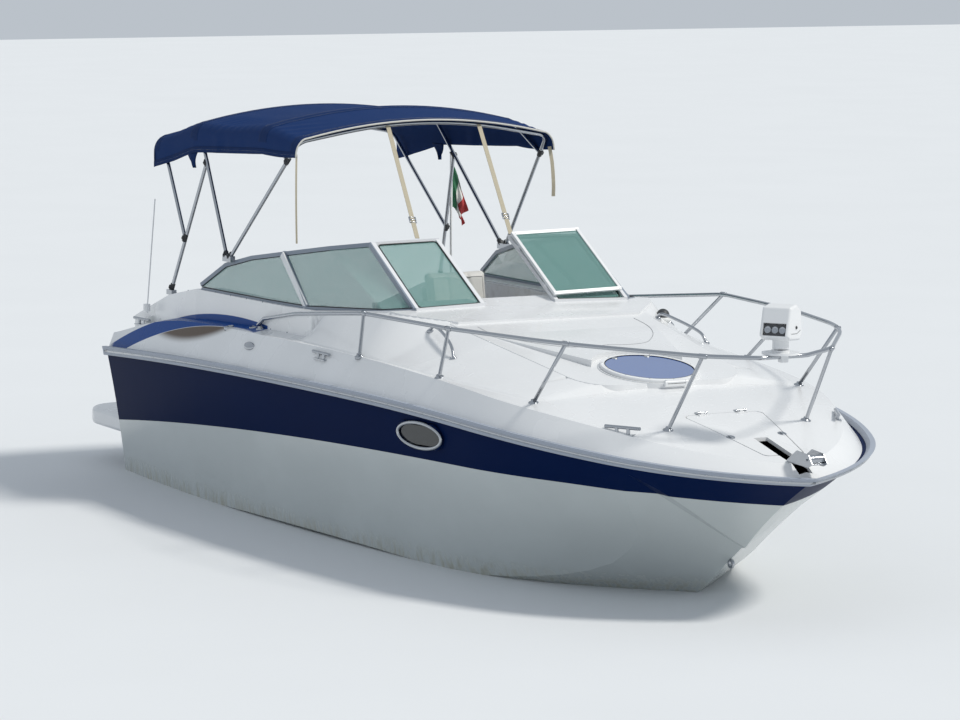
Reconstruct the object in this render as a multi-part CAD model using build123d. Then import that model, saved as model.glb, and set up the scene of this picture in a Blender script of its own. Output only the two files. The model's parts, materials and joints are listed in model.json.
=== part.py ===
from build123d import *
from math import cos, radians, sin, sqrt, tan
import os

# Twenty-six foot open cruiser, millimetres. X points to the bow, Y to port, Z up.
# The origin is on the centreline at the waterline, amidships.

# Driving sizes of the hull
STERN_X = -3600
MID_X = -1000
HULL_WALL = 35
TRANSOM_WALL = 60
SHEER_TOP_X = 500
SHEER_TOP_Z = 1000
SHEER_AFT_R = 56000
SHEER_FORE_R = 25000
BAND_TOP_X = 2300
BAND_TOP_Z = 705
BAND_AFT_R = 50000
BAND_FORE_R = 7100
RAIL_TALL = 62
RAIL_OUT = 28
CUT_HALF = 1900
CUT_TOP = 1900
CUT_LOW = -900
FAR_X = 4400

# Topside waterlines, one row each:
# z, stern half width, widest half width, shoulder x, shoulder w, cheek x, cheek w, stem x
TOPSIDE_PLANS = [
    (-560, 1010, 1060, 600, 900, 1400, 650, 2350),
    (350, 1110, 1170, 1200, 1020, 2050, 760, 2930),
    (650, 1160, 1235, 1500, 1100, 2512, 808, 3335),
    (1050, 1240, 1308, 1742, 1161, 3050, 846, 4065),
]
# Keel and vee: level run aft, one arc up the forefoot, then a straight stem below the chine
KEEL_AFT_X = -3900
KEEL_AFT_Z = -450
KEEL_LOW_X = 940
KEEL_LOW_Z = -465
FOREFOOT_R = 2545
FOREFOOT_TURN = 35
FOREFOOT_STEPS = 8
CHINE_STEM_X = 2880
STEM_DROP_X = 4300
STEM_DROP_Z = 520
DEADRISE_AFT = 19
DEADRISE_LOW = 26
DEADRISE_FORE = 32

# Deck moulding
DECK_WALL = 30
DECK_GAP = 0.4
# Deck side waterlines, in the same columns as the topsides
DECK_PLANS = [
    (760, 1228, 1405, 1720, 1268, 2980, 865, 3680),
    (1060, 1108, 1262, 1720, 1100, 2740, 700, 3220),
    (1420, 955, 1080, 1500, 900, 2350, 560, 2640),
]
# Deck top stations: x, centre z, radius of the crown
DECK_EDGE_W = 1500
DECK_TOPS = [
    (3900, 860, 5600),
    (2800, 1045, 7400),
    (2030, 1172, 8100),
    (1160, 1262, 7000),
    (240, 1322, 6100),
    (-1200, 1328, 6100),
    (-2300, 1285, 6500),
    (-2900, 1205, 7000),
    (-3800, 1040, 7400),
]
# Raised centre of the foredeck, a sloping top on rounded sides
PAD_AFT_X = 60
PAD_FORE_X = 2080
PAD_AFT_W = 740
PAD_FORE_W = 540
PAD_AFT_Z = 1505
PAD_SLOPE = 0.155
PAD_CORNER_R = 240
# Flatter wedge on the pad, ending in a hollow arc behind the hatch
WEDGE_AFT_X = 880
WEDGE_AFT_W = 590
WEDGE_FORE_X = 1800
WEDGE_FORE_W = 270
WEDGE_SLOPE = 0.105
WEDGE_ARC_R = 345
# Coaming round the cockpit: x, half width, then its top line: x, z
COAMING_PLAN = [(620, 0), (620, 640), (330, 900), (-560, 1070), (-2300, 1092), (-3560, 1000)]
COAMING_CORNER_R = 260
COAMING_TOP = [(620, 1432), (250, 1476), (-600, 1405), (-2300, 1392), (-2850, 1300), (-3560, 1090)]

# Cockpit and cabin
WELL_AFT_X = -3540
WELL_FORE_X = 60
WELL_W = 905
LINER_WALL = 25
SOLE_Z = 250
SOLE_THICK = 40
DOORWAY_W = 500
DOORWAY_TOP_Z = 1330
DOORWAY_SILL = 60
BERTH_TOP_Z = 420


def low_arc(x_aft, x_fore, top_x, top_z, aft_r, fore_r, drop=0.0):
    """Two arcs that meet level at their highest point."""
    def height(x, r):
        return top_z - drop - (r - sqrt(r * r - (x - top_x) ** 2))

    aft_mid = (x_aft + top_x) / 2
    fore_mid = (x_fore + top_x) / 2
    peak = (top_x, top_z - drop)
    aft = ThreePointArc((x_aft, height(x_aft, aft_r)), (aft_mid, height(aft_mid, aft_r)), peak)
    fore = ThreePointArc(peak, (fore_mid, height(fore_mid, fore_r)), (x_fore, height(x_fore, fore_r)))
    return aft, fore


def under_line(curves, half=CUT_HALF, floor=CUT_LOW):
    """Everything below a side profile, right across the boat."""
    start = curves[0] @ 0
    end = curves[-1] @ 1
    skirt = Polyline((start.X, start.Y), (start.X, floor), (end.X, floor), (end.X, end.Y))
    profile = make_face(list(curves) + [skirt])
    return extrude(Plane.XZ * profile, half, both=True)


def sheer_line(drop=0.0):
    return low_arc(-4000, FAR_X, SHEER_TOP_X, SHEER_TOP_Z, SHEER_AFT_R, SHEER_FORE_R, drop)


def under_sheer(drop=0.0):
    return under_line(sheer_line(drop))


def over_sheer(lift=0.0):
    return under_line(sheer_line(-lift), floor=CUT_TOP)


def under_band():
    return under_line(low_arc(-4000, FAR_X, BAND_TOP_X, BAND_TOP_Z, BAND_AFT_R, BAND_FORE_R))


def plan_face(row, grow, stern_x):
    """One waterline: transom, long side, shoulder and cheek arcs up to the stem."""
    z, stern_w, mid_w, shoulder_x, shoulder_w, cheek_x, cheek_w, stem_x = row
    side = ThreePointArc((stern_x, stern_w + grow), (MID_X, mid_w + grow), (shoulder_x, shoulder_w + grow))
    shoulder = TangentArc(side @ 1, (cheek_x + 0.5 * grow, cheek_w + grow), tangent=side % 1)
    cheek = TangentArc(shoulder @ 1, (stem_x + 1.2 * grow, 0), tangent=shoulder % 1)
    port = [side, shoulder, cheek]
    starboard = [edge.mirror(Plane.XZ) for edge in port]
    transom = Line((stern_x, -stern_w - grow), (stern_x, stern_w + grow))
    return Pos(0, 0, z) * make_face(port + starboard + [transom])


def plan_body(plans, grow=0.0, stern_x=STERN_X):
    return loft([plan_face(row, grow, stern_x) for row in plans])


def bottom_stations():
    """Station, keel height and deadrise from the transom forward."""
    stations = [(KEEL_AFT_X, KEEL_AFT_Z, DEADRISE_AFT)]
    for step in range(FOREFOOT_STEPS + 1):
        turn = radians(FOREFOOT_TURN * step / FOREFOOT_STEPS)
        x = KEEL_LOW_X + FOREFOOT_R * sin(turn)
        z = KEEL_LOW_Z + FOREFOOT_R * (1 - cos(turn))
        deadrise = DEADRISE_LOW + (DEADRISE_FORE - DEADRISE_LOW) * step / FOREFOOT_STEPS
        stations.append((x, z, deadrise))
    x, z, deadrise = stations[-1]
    stations.append((CHINE_STEM_X, z + (CHINE_STEM_X - x) * tan(radians(FOREFOOT_TURN)), deadrise))
    stations.append((STEM_DROP_X, STEM_DROP_Z, deadrise))
    return stations


def bottom_body(lift=0.0):
    """Everything above the vee bottom."""
    sections = []
    for x, keel_z, deadrise in bottom_stations():
        rise = CUT_HALF * tan(radians(deadrise))
        corners = [
            (0, keel_z + lift),
            (CUT_HALF, keel_z + lift + rise),
            (CUT_HALF, CUT_TOP + rise),
            (-CUT_HALF, CUT_TOP + rise),
            (-CUT_HALF, keel_z + lift + rise),
        ]
        plane = Plane(origin=(x, 0, 0), x_dir=(0, 1, 0), z_dir=(1, 0, 0))
        sections.append(plane * make_face(Polyline(*corners, close=True)))
    return loft(sections, ruled=True)


def deck_top_body(drop=0.0):
    """Everything under the crowned deck."""
    sections = []
    for x, centre_z, crown_r in DECK_TOPS:
        top = centre_z - drop
        edge = top - (crown_r - sqrt(crown_r**2 - DECK_EDGE_W**2))
        crown = ThreePointArc((-DECK_EDGE_W, edge), (0, top), (DECK_EDGE_W, edge))
        wide = DECK_EDGE_W
        skirt = Polyline((wide, edge), (wide, CUT_LOW), (-wide, CUT_LOW), (-wide, edge))
        plane = Plane(origin=(x, 0, 0), x_dir=(0, 1, 0), z_dir=(1, 0, 0))
        sections.append(plane * make_face([crown, skirt]))
    return loft(sections)



# Transom door at the port quarter
DOOR_LOW_Y = 470
DOOR_HIGH_Y = 850
DOOR_SILL_Z = 385
DOOR_THICK = 40
DOOR_HINGE_ZS = (480, 780)

# Windshield. Rows run aft along one side: foot x, y, z, then head x, y, z
GLASS_THICK = 8
FRAME_D = 26
SIDE_RIBS = [
    ((262, 748, 1474), (-358, 742, 1832)),
    ((110, 885, 1456), (-740, 850, 1782)),
    ((-725, 1014, 1406), (-1250, 930, 1708)),
    ((-1250, 1040, 1400), (-1640, 972, 1652)),
    ((-1850, 1055, 1396), (-1960, 1015, 1580)),
    ((-2230, 1062, 1394), (-2255, 1058, 1428)),
]
FRONT_FOOT_IN = (224, 262, 1482)
FRONT_FOOT_OUT = (262, 732, 1474)
FRONT_HEAD_OUT = (-353, 726, 1832)
FRONT_HEAD_IN = (-390, 266, 1835)

# Canopy frame and cloth. Bows: foot x, y, z, then x, half width, crown z of the arch
TUBE_D = 25
BOW_BEND = 82
BOW_CROWN_R = 3400
BOW_FLAT = 300
BOW_DROP = 104
BOWS = [
    (-1870, 1030, 1640, -1080, 908, 2539),
    (-1202, 927, 2310, -1550, 905, 2603),
    (-1935, 1028, 1640, -2660, 898, 2563),
    (-2690, 996, 1700, -3312, 888, 2441),
]
# Brace from the quarter up to the main bow
BRACE_FOOT = (-2850, 1030, 1330)
BRACE_HEAD = (-2460, 935, 2222)
# Canopy ribs: x, half width, edge z, shoulder z, crown z
CANOPY_RIBS = [
    (-1045, 943, 2338, 2462, 2560),
    (-1550, 944, 2334, 2522, 2624),
    (-2100, 944, 2318, 2498, 2598),
    (-2660, 944, 2278, 2484, 2584),
    (-3020, 942, 2212, 2414, 2514),
    (-3345, 940, 2138, 2352, 2456),
]
CANOPY_THICK = 9
CANOPY_BEND = 85
CANOPY_TURN = 107
# Straps from the windshield to the front bow: foot x, y, z, then head x, y, z
STRAPS = [
    ((-397, -400, 1854), (-1068, -270, 2530)),
    ((-408, 278, 1854), (-1068, 400, 2522)),
]
STRAP_WIDE = 38
STRAP_THICK = 4

# Bow rail: x, half width, z of the tube from the aft foot forward
RAIL_D = 25
RAIL_PATH = [
    (-1290, 1098, 1250),
    (-1190, 1105, 1300),
    (-560, 1175, 1395),
    (590, 1265, 1512),
    (1520, 1175, 1508),
    (2460, 940, 1503),
    (3130, 425, 1476),
    (3290, 150, 1468),
]
RAIL_BENDS = [60, 900, 900, 1200, 1500, 500, 130]
# Stanchions: foot x, y, z below the deck, head x, y, z
STANCHION_D = 22
STANCHIONS = [
    ((260, 1135, 1190), (590, 1265, 1512)),
    ((1170, 1058, 1160), (1520, 1175, 1508)),
    ((2030, 900, 1100), (2460, 940, 1503)),
    ((2806, 460, 1010), (3130, 425, 1476)),
]

# Foredeck hatch and anchor locker
HATCH_X = 1826
HATCH_Z = 1231
HATCH_TILT = 8.8
HATCH_HOLE_R = 255
HATCH_CUT_R = 276
HATCH_RING_R = 306
HATCH_RING_IN = 12
HATCH_LID_R = 294
HATCH_LENS_R = 266
HATCH_RING_DEEP = 30
HATCH_RING_TALL = 6
HATCH_LID_TALL = 18
HATCH_EAR_OUT = 18
HATCH_EAR_R = 9
HATCH_EAR_THICK = 14
HATCH_LUG = 120
LOCKER_AFT_X = 2640
LOCKER_FORE_X = 3330
LOCKER_AFT_W = 265
LOCKER_FORE_W = 130
# Anchor slot through the lid and the stemhead
SLOT_AFT_X = 3060
SLOT_FORE_X = 3540
SLOT_W = 44
LOCKER_CLEAR = 6
LID_THICK = 22
LOCKER_HINGE_Y = 130
LOCKER_HINGE_Z = 1084.2
LOCKER_HINGE_TILT = 10.5

# Sterndrive
DRIVE_X = -3720
DRIVE_Z = -110
HOUSING_THICK = 30
PROP_X = -4330
PROP_DROP = 430
HUB_R = 52
BLADES = 4
SHAFT_R = 16
SHAFT_PLAY = 0.05

# Swim platform
PLATFORM_AFT_X = -4400
PLATFORM_W = 1070
PLATFORM_TOP_Z = 372
PLATFORM_THICK = 120
PLATFORM_CORNER_R = 260
BOTTOM_WALL = 40
COAMING_FROM_Z = 960
PAD_FROM_Z = 1050
LINER_DROP = 8
LOCKER_CORNER_R = 40
# Stations where the long mouldings are cut into lengths
BOTTOM_STATIONS = (-3540, 60, 940)
DECK_STATIONS = (1500, 1826, 2150, 2640, 3330, 3540)
CRUMB = 1000
EYE_X = 2762.6
EYE_Z = 222
EYE_OUTER_R = 28
EYE_BORE_R = 14
EYE_THICK = 14
PORT_X = 1190
PORT_Z = 842
PORT_W = 1195
PORT_NORMAL = (0.09, 1.0, -0.2)
PORT_LONG = 460
PORT_TALL = 150
PORT_RIM = 22
BERTH_AFT_X = 1000
BERTH_FORE_X = 2700
BERTH_PAD = 95
AISLE_W = 300
AISLE_FORE_X = 1850
CABIN_SOLE_Z = -130
CABIN_SOLE_THICK = 30
DIVIDER_ROW = 2
RING_HALF = 120
RING_WIDE = 60
EAR_THICK = 36
ARM_THICK = 28
PROP_LONG = 110
BLADE_THICK = 9
BLADE_PITCH = 26
PLATE_DROP = 217
PLATE_W = 150
POST_PIN_R = 26
DASH_FORE_X = 30
DASH_LOW_Y = 300
# Pane that swings in the middle of the windshield, hinged on the port post
SWING_GAP = 8
SWING_OFFSET = 18
SWING_LIFT = 34
SWING_DROP = 16
SWING_OPEN = 178
SWING_KNUCKLE_R = 6
SWING_PIN_R = 3
SWING_HINGE_AT = (0.2, 0.8)
SWING_HINGE_LONG = 60
SWING_FRAME = 20
# Sliding companionway door and its rails
SLIDER_LOW_X = 6
SLIDER_THICK = 18
SLIDER_LAP = 18
SLIDER_TRAVEL = 520
TRACK_THICK = 24
# Aft seat, engine box and the pad that lifts off the engine
BENCH_FORE_X = -2240
BOX_FORE_X = -2760
BOX_AFT_X = -3510
BOX_PORT_Y = 430
BOX_TOP_Z = 800
BOX_WALL = 25
BENCH_TOP_Z = 620
CUSHION_THICK = 110
CUSHION_ROUND = 35
BENCH_BACK_Z = 1120
LOUNGE_BACK_Z = 1180
SUNPAD_HINGE_X = -3400
SUNPAD_LID = 28
SUNPAD_PAD = 80
LOUNGE_AFT_X = -1500
LOUNGE_FORE_X = -140
LOUNGE_WIDE = 520
# Spotlight on the front of the bow rail
LIGHT_X = 3262
LIGHT_Z = 1480
LIGHT_FOOT_R = 105
LIGHT_COLLAR_R = 52
LIGHT_HEAD_W = 88
LIGHT_NECK_R = 46
# Side profile of the head: forward of its pin, up from the neck's foot
LIGHT_PROFILE = [(70, 52), (108, 74), (84, 156), (60, 236), (-26, 248), (-88, 212), (-106, 72), (-72, 42)]
LIGHT_ROUND = 16
LIGHT_FACE_DEEP = 22
LIGHT_PIN_R = 14
LIGHT_AIM = -55
DOOR_TOP_Z = 1000
# Cleats: x, y, z of the foot, turn in degrees
CLEATS = [
    (2750, -715, 1008, 28),
    (2750, 715, 1008, -28),
    (-150, -1195, 1150, 0),
    (-150, 1195, 1150, 0),
    (-3250, -1080, 1055, 4),
    (-3250, 1080, 1055, -4),
]

def block(x_low, x_high, y_low, y_high, z_low, z_high, round_r=0.0):
    """A box between six planes, with its edges rounded."""
    size = (x_high - x_low, y_high - y_low, z_high - z_low)
    middle = Pos((x_low + x_high) / 2, (y_low + y_high) / 2, (z_low + z_high) / 2)
    solid = Box(*size)
    if round_r:
        solid = fillet(solid.edges(), round_r)
    return middle * solid


def tube(points, diameter, bend=0.0):
    """Round tube along straight runs joined by bends."""
    path = FilletPolyline(*points, radius=bend) if len(points) > 2 else Line(*points)
    return sweep(Plane(origin=path @ 0, z_dir=path % 0) * Circle(diameter / 2), path=path)


def across(x, y_low, y_high, z, diameter):
    """A round bar athwartships."""
    plane = Plane(origin=(x, y_low, z), z_dir=(0, 1, 0))
    return extrude(plane * Circle(diameter / 2), y_high - y_low)


def profile_block(points, y_low, y_high):
    """A side profile of straight lines, extruded athwartships."""
    face = Plane.XZ * make_face(Polyline(*points, close=True))
    return Pos(0, y_high, 0) * extrude(face, y_high - y_low)


def largest(shape):
    """The biggest solid of a shape, without the crumbs that a cut leaves."""
    return max(shape.solids(), key=lambda solid: solid.volume)


def flip(shape):
    return shape.mirror(Plane.XZ)


def both_sides(shape):
    return [shape, flip(shape)]


# Seats and helm
SEAT_X = -1330
SEAT_Y = 478
SEAT_BASE_Z = 820
SEAT_WIDE = 480
SEAT_DEEP = 460
SEAT_BACK_TOP_Z = 1520
POST_R = 40
POST_PLAY = 0.05
WHEEL_X = -440
WHEEL_Y = 570
WHEEL_Z = 1150
WHEEL_R = 180
WHEEL_RIM_R = 14
WHEEL_RAKE = 28
WHEEL_SHAFT_R = 15
WHEEL_SHAFT_LONG = 120

# Gap between moving pieces and what stands beside them
RUN_GAP = 8
# Butt hinges on lids and the stern door, and half the slot under each pin
HINGE_SLOT = 3
PIN_R = 4
PIN_PLAY = 0.05
KNUCKLE_R = 8
KNUCKLE_GAP = 1
LEAF_THICK = 4
HINGE_LONG = 90
HINGE_LEAF = 45
LID_HINGE_LONG = 66
LID_HINGE_LEAF = 30


def butt_hinge(place, long=HINGE_LONG, leaf=HINGE_LEAF, bed=0.0):
    """Fixed half and moving half of a hinge that lies on a surface.

    In its own frame the pin runs along Z, the surface is below at -Y, the
    fixed leaf reaches to +X and the moving leaf to -X. The bed is how far
    both leaves go on below the surface.
    """
    third = long / 6
    low = -KNUCKLE_R
    fixed = Cylinder(PIN_R, long)
    for side in (1, -1):
        near, far = sorted((side * (third + KNUCKLE_GAP), side * long / 2))
        fixed += Pos(0, 0, (near + far) / 2) * Cylinder(KNUCKLE_R, far - near)
        fixed += block(0, KNUCKLE_R + 2, low, low + LEAF_THICK, near, far)
    fixed += block(KNUCKLE_R + 2, leaf, low - bed, low + LEAF_THICK, -long / 2, long / 2)
    moving = Cylinder(KNUCKLE_R, 2 * third)
    moving += block(-KNUCKLE_R - 2, 0, low, low + LEAF_THICK, -third, third)
    moving += block(-leaf, -KNUCKLE_R - 2, low - bed, low + LEAF_THICK, -long / 2, long / 2)
    moving -= Cylinder(PIN_R + PIN_PLAY, long)
    return place * fixed, place * moving


def under_coaming(drop=0.0):
    """Everything under the top line of the coaming."""
    top = [(x, z - drop) for x, z in COAMING_TOP]
    fore = top[0][0] + 200
    aft = top[-1][0] - 200
    points = [(fore, CUT_LOW), (fore, top[0][1])] + top + [(aft, top[-1][1]), (aft, CUT_LOW)]
    return profile_block(points, -CUT_HALF, CUT_HALF)


def coaming_body():
    """Plinth under the windshield and coaming round the cockpit."""
    inner = COAMING_PLAN[1:]
    outline = inner + [(x, -w) for x, w in reversed(inner)]
    plan = make_face(Polyline(*outline, close=True))
    corners = [vertex for vertex in plan.vertices() if abs(vertex.X - COAMING_PLAN[2][0]) < 1]
    plan = fillet(corners, COAMING_CORNER_R)
    return Pos(0, 0, COAMING_FROM_Z) * extrude(plan, 700) & under_coaming()


def pad_body():
    """Sloping raised centre of the foredeck."""
    plan = make_face(
        Polyline(
            (PAD_AFT_X, -PAD_AFT_W),
            (PAD_FORE_X, -PAD_FORE_W),
            (PAD_FORE_X, PAD_FORE_W),
            (PAD_AFT_X, PAD_AFT_W),
            close=True,
        )
    )
    plan = fillet(plan.vertices().sort_by(Axis.X)[-2:], PAD_CORNER_R)
    body = Pos(0, 0, PAD_FROM_Z) * extrude(plan, 700)
    run = PAD_FORE_X + 100 - PAD_AFT_X
    points = [
        (PAD_AFT_X, CUT_LOW),
        (PAD_FORE_X + 100, CUT_LOW),
        (PAD_FORE_X + 100, PAD_AFT_Z - PAD_SLOPE * run),
        (PAD_AFT_X, PAD_AFT_Z),
    ]
    return body & profile_block(points, -CUT_HALF, CUT_HALF)


def wedge_body():
    """Flatter step on the pad that ends behind the hatch."""
    plan = make_face(
        Polyline(
            (WEDGE_AFT_X, -WEDGE_AFT_W),
            (WEDGE_FORE_X, -WEDGE_FORE_W),
            (WEDGE_FORE_X, WEDGE_FORE_W),
            (WEDGE_AFT_X, WEDGE_AFT_W),
            close=True,
        )
    )
    body = Pos(0, 0, PAD_FROM_Z) * extrude(plan, 700)
    top = PAD_AFT_Z - PAD_SLOPE * (WEDGE_AFT_X - PAD_AFT_X)
    fall = WEDGE_SLOPE * (WEDGE_FORE_X - WEDGE_AFT_X)
    points = [
        (WEDGE_AFT_X, PAD_FROM_Z),
        (WEDGE_FORE_X, PAD_FROM_Z),
        (WEDGE_FORE_X, top - fall),
        (WEDGE_AFT_X, top),
    ]
    body &= profile_block(points, -CUT_HALF, CUT_HALF)
    return body - hatch_place() * extrude(Circle(WEDGE_ARC_R), 300)


def hatch_place(lift=0.0):
    """Frame of the round hatch, level with the sloping pad."""
    return Pos(HATCH_X, 0, HATCH_Z) * Rot(0, HATCH_TILT, 0) * Pos(0, 0, lift)


def make_hull():
    outer = plan_body(TOPSIDE_PLANS) & bottom_body() & under_sheer()
    inner = plan_body(TOPSIDE_PLANS, -HULL_WALL, STERN_X + TRANSOM_WALL) & bottom_body(BOTTOM_WALL)
    door_gap = block(STERN_X - 50, WELL_AFT_X + 50, DOOR_LOW_Y, DOOR_HIGH_Y, DOOR_SILL_Z, 1500)
    shell = outer - inner - door_gap
    for port in port_holes():
        shell -= port
    band_cut = under_band()
    return shell & band_cut, shell - band_cut


def port_plane(side):
    normal = Vector(PORT_NORMAL[0], side * PORT_NORMAL[1], PORT_NORMAL[2])
    return Plane(origin=(PORT_X, side * PORT_W, PORT_Z), x_dir=(1, 0, 0.02), z_dir=normal)


def port_slot(side, grow, low, high):
    """Oval plate through the topside, from low to high along its normal."""
    face = port_plane(side).offset(low) * SlotOverall(PORT_LONG + 2 * grow, PORT_TALL + 2 * grow)
    return extrude(face, high - low)


def port_holes():
    return [port_slot(side, 0, -120, 120) for side in (1, -1)]


def make_rub_rail():
    outer = plan_body(TOPSIDE_PLANS, RAIL_OUT, STERN_X - RAIL_OUT)
    inner = plan_body(TOPSIDE_PLANS, 0.0)
    ring = (outer & under_sheer(-RAIL_TALL / 2)) - under_sheer(RAIL_TALL / 2) - inner
    fore_only = block(STERN_X, FAR_X, -CUT_HALF, CUT_HALF, 0, CUT_TOP)
    return ring & fore_only


def make_deck():
    outer = plan_body(DECK_PLANS) & deck_top_body()
    outer = outer + coaming_body() + pad_body() + wedge_body()
    inner = plan_body(DECK_PLANS, -DECK_WALL, STERN_X + TRANSOM_WALL) & deck_top_body(DECK_WALL)
    deck = (outer - inner) & over_sheer(DECK_GAP)
    deck -= block(WELL_AFT_X, WELL_FORE_X, -WELL_W, WELL_W, 0, CUT_TOP)
    deck -= block(STERN_X - 50, WELL_AFT_X + 50, DOOR_LOW_Y, DOOR_HIGH_Y, DOOR_SILL_Z, 1500)
    deck -= hatch_place(-200) * extrude(Circle(HATCH_CUT_R), 400)
    deck -= locker_prism(0, 400, 1400)
    return deck - slot_body()


def slot_body():
    """Slot for the anchor, through the locker's lid and on to the stemhead."""
    return block(SLOT_AFT_X, SLOT_FORE_X, -SLOT_W, SLOT_W, 700, 1400)


def locker_prism(shrink, low, high):
    fore, aft = LOCKER_FORE_X - 2 * shrink, LOCKER_AFT_X + shrink
    fore_w, aft_w = LOCKER_FORE_W - shrink, LOCKER_AFT_W - shrink
    plan = make_face(Polyline((aft, -aft_w), (fore, -fore_w), (fore, fore_w), (aft, aft_w), close=True))
    plan = fillet(plan.vertices(), LOCKER_CORNER_R)
    return Pos(0, 0, low) * extrude(plan, high - low)


def slices(shape, stations=(), low=CUT_LOW, high=CUT_TOP):
    """A moulding in touching lengths, each in a port and a starboard half."""
    ends = [STERN_X - 100, *stations, FAR_X]
    pieces = []
    for aft, fore in zip(ends, ends[1:]):
        for side in (-1, 1):
            near, far = sorted((0, side * CUT_HALF))
            part = shape & block(aft, fore, near, far, low, high)
            pieces += [solid for solid in part.solids() if solid.volume > CRUMB]
    return pieces


def make_locker_lid(deck):
    """Lid of the anchor locker and the fixed halves of its two hinges."""
    slab = deck_top_body() - deck_top_body(LID_THICK)
    lid = (slab & locker_prism(LOCKER_CLEAR, 400, 1400)) - slot_body()
    halves = []
    for y in (-LOCKER_HINGE_Y, LOCKER_HINGE_Y):
        place = Pos(LOCKER_AFT_X + HINGE_SLOT, y, LOCKER_HINGE_Z) * Rot(0, LOCKER_HINGE_TILT, 0)
        place = place * Rot(90, 0, 0) * Rot(0, 180, 0)
        fixed, moving = butt_hinge(place, LID_HINGE_LONG, LID_HINGE_LEAF, HINGE_SLOT)
        halves.append(fixed - deck)
        lid += moving - slab
    return lid, halves


def make_liner():
    outer = block(WELL_AFT_X, WELL_FORE_X, -WELL_W, WELL_W, SOLE_Z - SOLE_THICK, CUT_TOP)
    outer = outer & under_coaming(LINER_DROP)
    half = WELL_W - LINER_WALL
    room = block(WELL_AFT_X + LINER_WALL, WELL_FORE_X - LINER_WALL, -half, half, SOLE_Z, CUT_TOP + 1)
    liner = outer - room
    liner -= block(0, WELL_FORE_X + 10, -DOORWAY_W / 2, DOORWAY_W / 2, SOLE_Z + DOORWAY_SILL, DOORWAY_TOP_Z)
    liner -= block(WELL_AFT_X - 10, WELL_AFT_X + 50, DOOR_LOW_Y, DOOR_HIGH_Y, DOOR_SILL_Z, CUT_TOP)
    return liner


def make_berth():
    space = plan_body(TOPSIDE_PLANS, -HULL_WALL - 5, STERN_X + TRANSOM_WALL) & bottom_body(BOTTOM_WALL + 6)
    base = space & block(BERTH_AFT_X, BERTH_FORE_X, -CUT_HALF, CUT_HALF, BERTH_TOP_Z - 260, BERTH_TOP_Z)
    corners = [(BERTH_AFT_X - 1, -AISLE_W), (AISLE_FORE_X, 0), (BERTH_AFT_X - 1, AISLE_W)]
    aisle_cut = extrude(make_face(Polyline(*corners, close=True)), 900)
    cushion = space & block(
        BERTH_AFT_X + 20, BERTH_FORE_X, -CUT_HALF, CUT_HALF, BERTH_TOP_Z + 1, BERTH_TOP_Z + BERTH_PAD
    )
    sole = space & block(
        WELL_FORE_X + 60, BERTH_AFT_X + 500, -CUT_HALF, CUT_HALF, CABIN_SOLE_Z - CABIN_SOLE_THICK, CABIN_SOLE_Z
    )
    return base - aisle_cut, cushion - aisle_cut, sole


def beam(points, wide, tall, extend=0.0):
    """Bar of rectangular section through the points, mitred where it turns."""
    spots = [Vector(*point) for point in points]
    first = (spots[1] - spots[0]).normalized()
    last = (spots[-1] - spots[-2]).normalized()
    spots[0] -= first * extend
    spots[-1] += last * extend
    sections = []
    for index, spot in enumerate(spots):
        before = spot - spots[index - 1] if index else spots[1] - spot
        after = spots[index + 1] - spot if index + 1 < len(spots) else before
        along = before.normalized() + after.normalized()
        sideways = along.cross(Vector(0, 0, 1)) if abs(along.normalized().Z) < 0.99 else Vector(0, 1, 0)
        plane = Plane(origin=spot, x_dir=sideways, z_dir=along)
        sections.append(plane * Rectangle(wide, tall))
    return loft(sections, ruled=True)


def make_windshield():
    """Fixed panes, their frame and the pane that swings in the middle."""
    front = pane(FRONT_FOOT_IN, FRONT_FOOT_OUT, FRONT_HEAD_OUT, FRONT_HEAD_IN)
    side = rib_glass(SIDE_RIBS)
    foot_line = [rib[0] for rib in SIDE_RIBS]
    head_line = [rib[1] for rib in SIDE_RIBS]
    half = FRAME_D / 2
    frame = beam([FRONT_FOOT_IN, FRONT_FOOT_OUT], FRAME_D, FRAME_D, half)
    frame += beam([FRONT_HEAD_IN, FRONT_HEAD_OUT], FRAME_D, FRAME_D, half)
    frame += beam([FRONT_FOOT_IN, FRONT_HEAD_IN], FRAME_D, FRAME_D)
    frame += beam([foot_line[0], head_line[0]], 1.4 * FRAME_D, 1.4 * FRAME_D)
    frame += beam(foot_line, FRAME_D, FRAME_D, half)
    frame += beam(head_line, FRAME_D, FRAME_D, half)
    frame += beam([foot_line[DIVIDER_ROW], head_line[DIVIDER_ROW]], FRAME_D, 1.6 * FRAME_D)
    return frame - front - side, front, side


def pane(foot_in, foot_out, head_out, head_in):
    """Flat sheet of glass through four corners, the last drawn into the plane of the rest."""
    along = Vector(*foot_out) - Vector(*foot_in)
    plane = Plane(origin=foot_in, x_dir=along, z_dir=normal_of(foot_in, foot_out, head_in))
    corners = [plane.to_local_coords(Vector(*corner)) for corner in (foot_in, foot_out, head_out, head_in)]
    face = make_face(Polyline(*[(corner.X, corner.Y) for corner in corners], close=True))
    return extrude(plane.offset(-GLASS_THICK / 2) * face, GLASS_THICK)


def normal_of(origin, first, second):
    a = Vector(*first) - Vector(*origin)
    b = Vector(*second) - Vector(*origin)
    return a.cross(b).normalized()


def rib_glass(ribs):
    """Curved side glass through straight upright ribs."""
    out = Vector(0, GLASS_THICK / 2, 0)
    sections = []
    for foot, head in ribs:
        low, high = Vector(*foot), Vector(*head)
        sections.append(make_face(Polyline(low - out, low + out, high + out, high - out, close=True)))
    return loft(sections, ruled=True)


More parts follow.
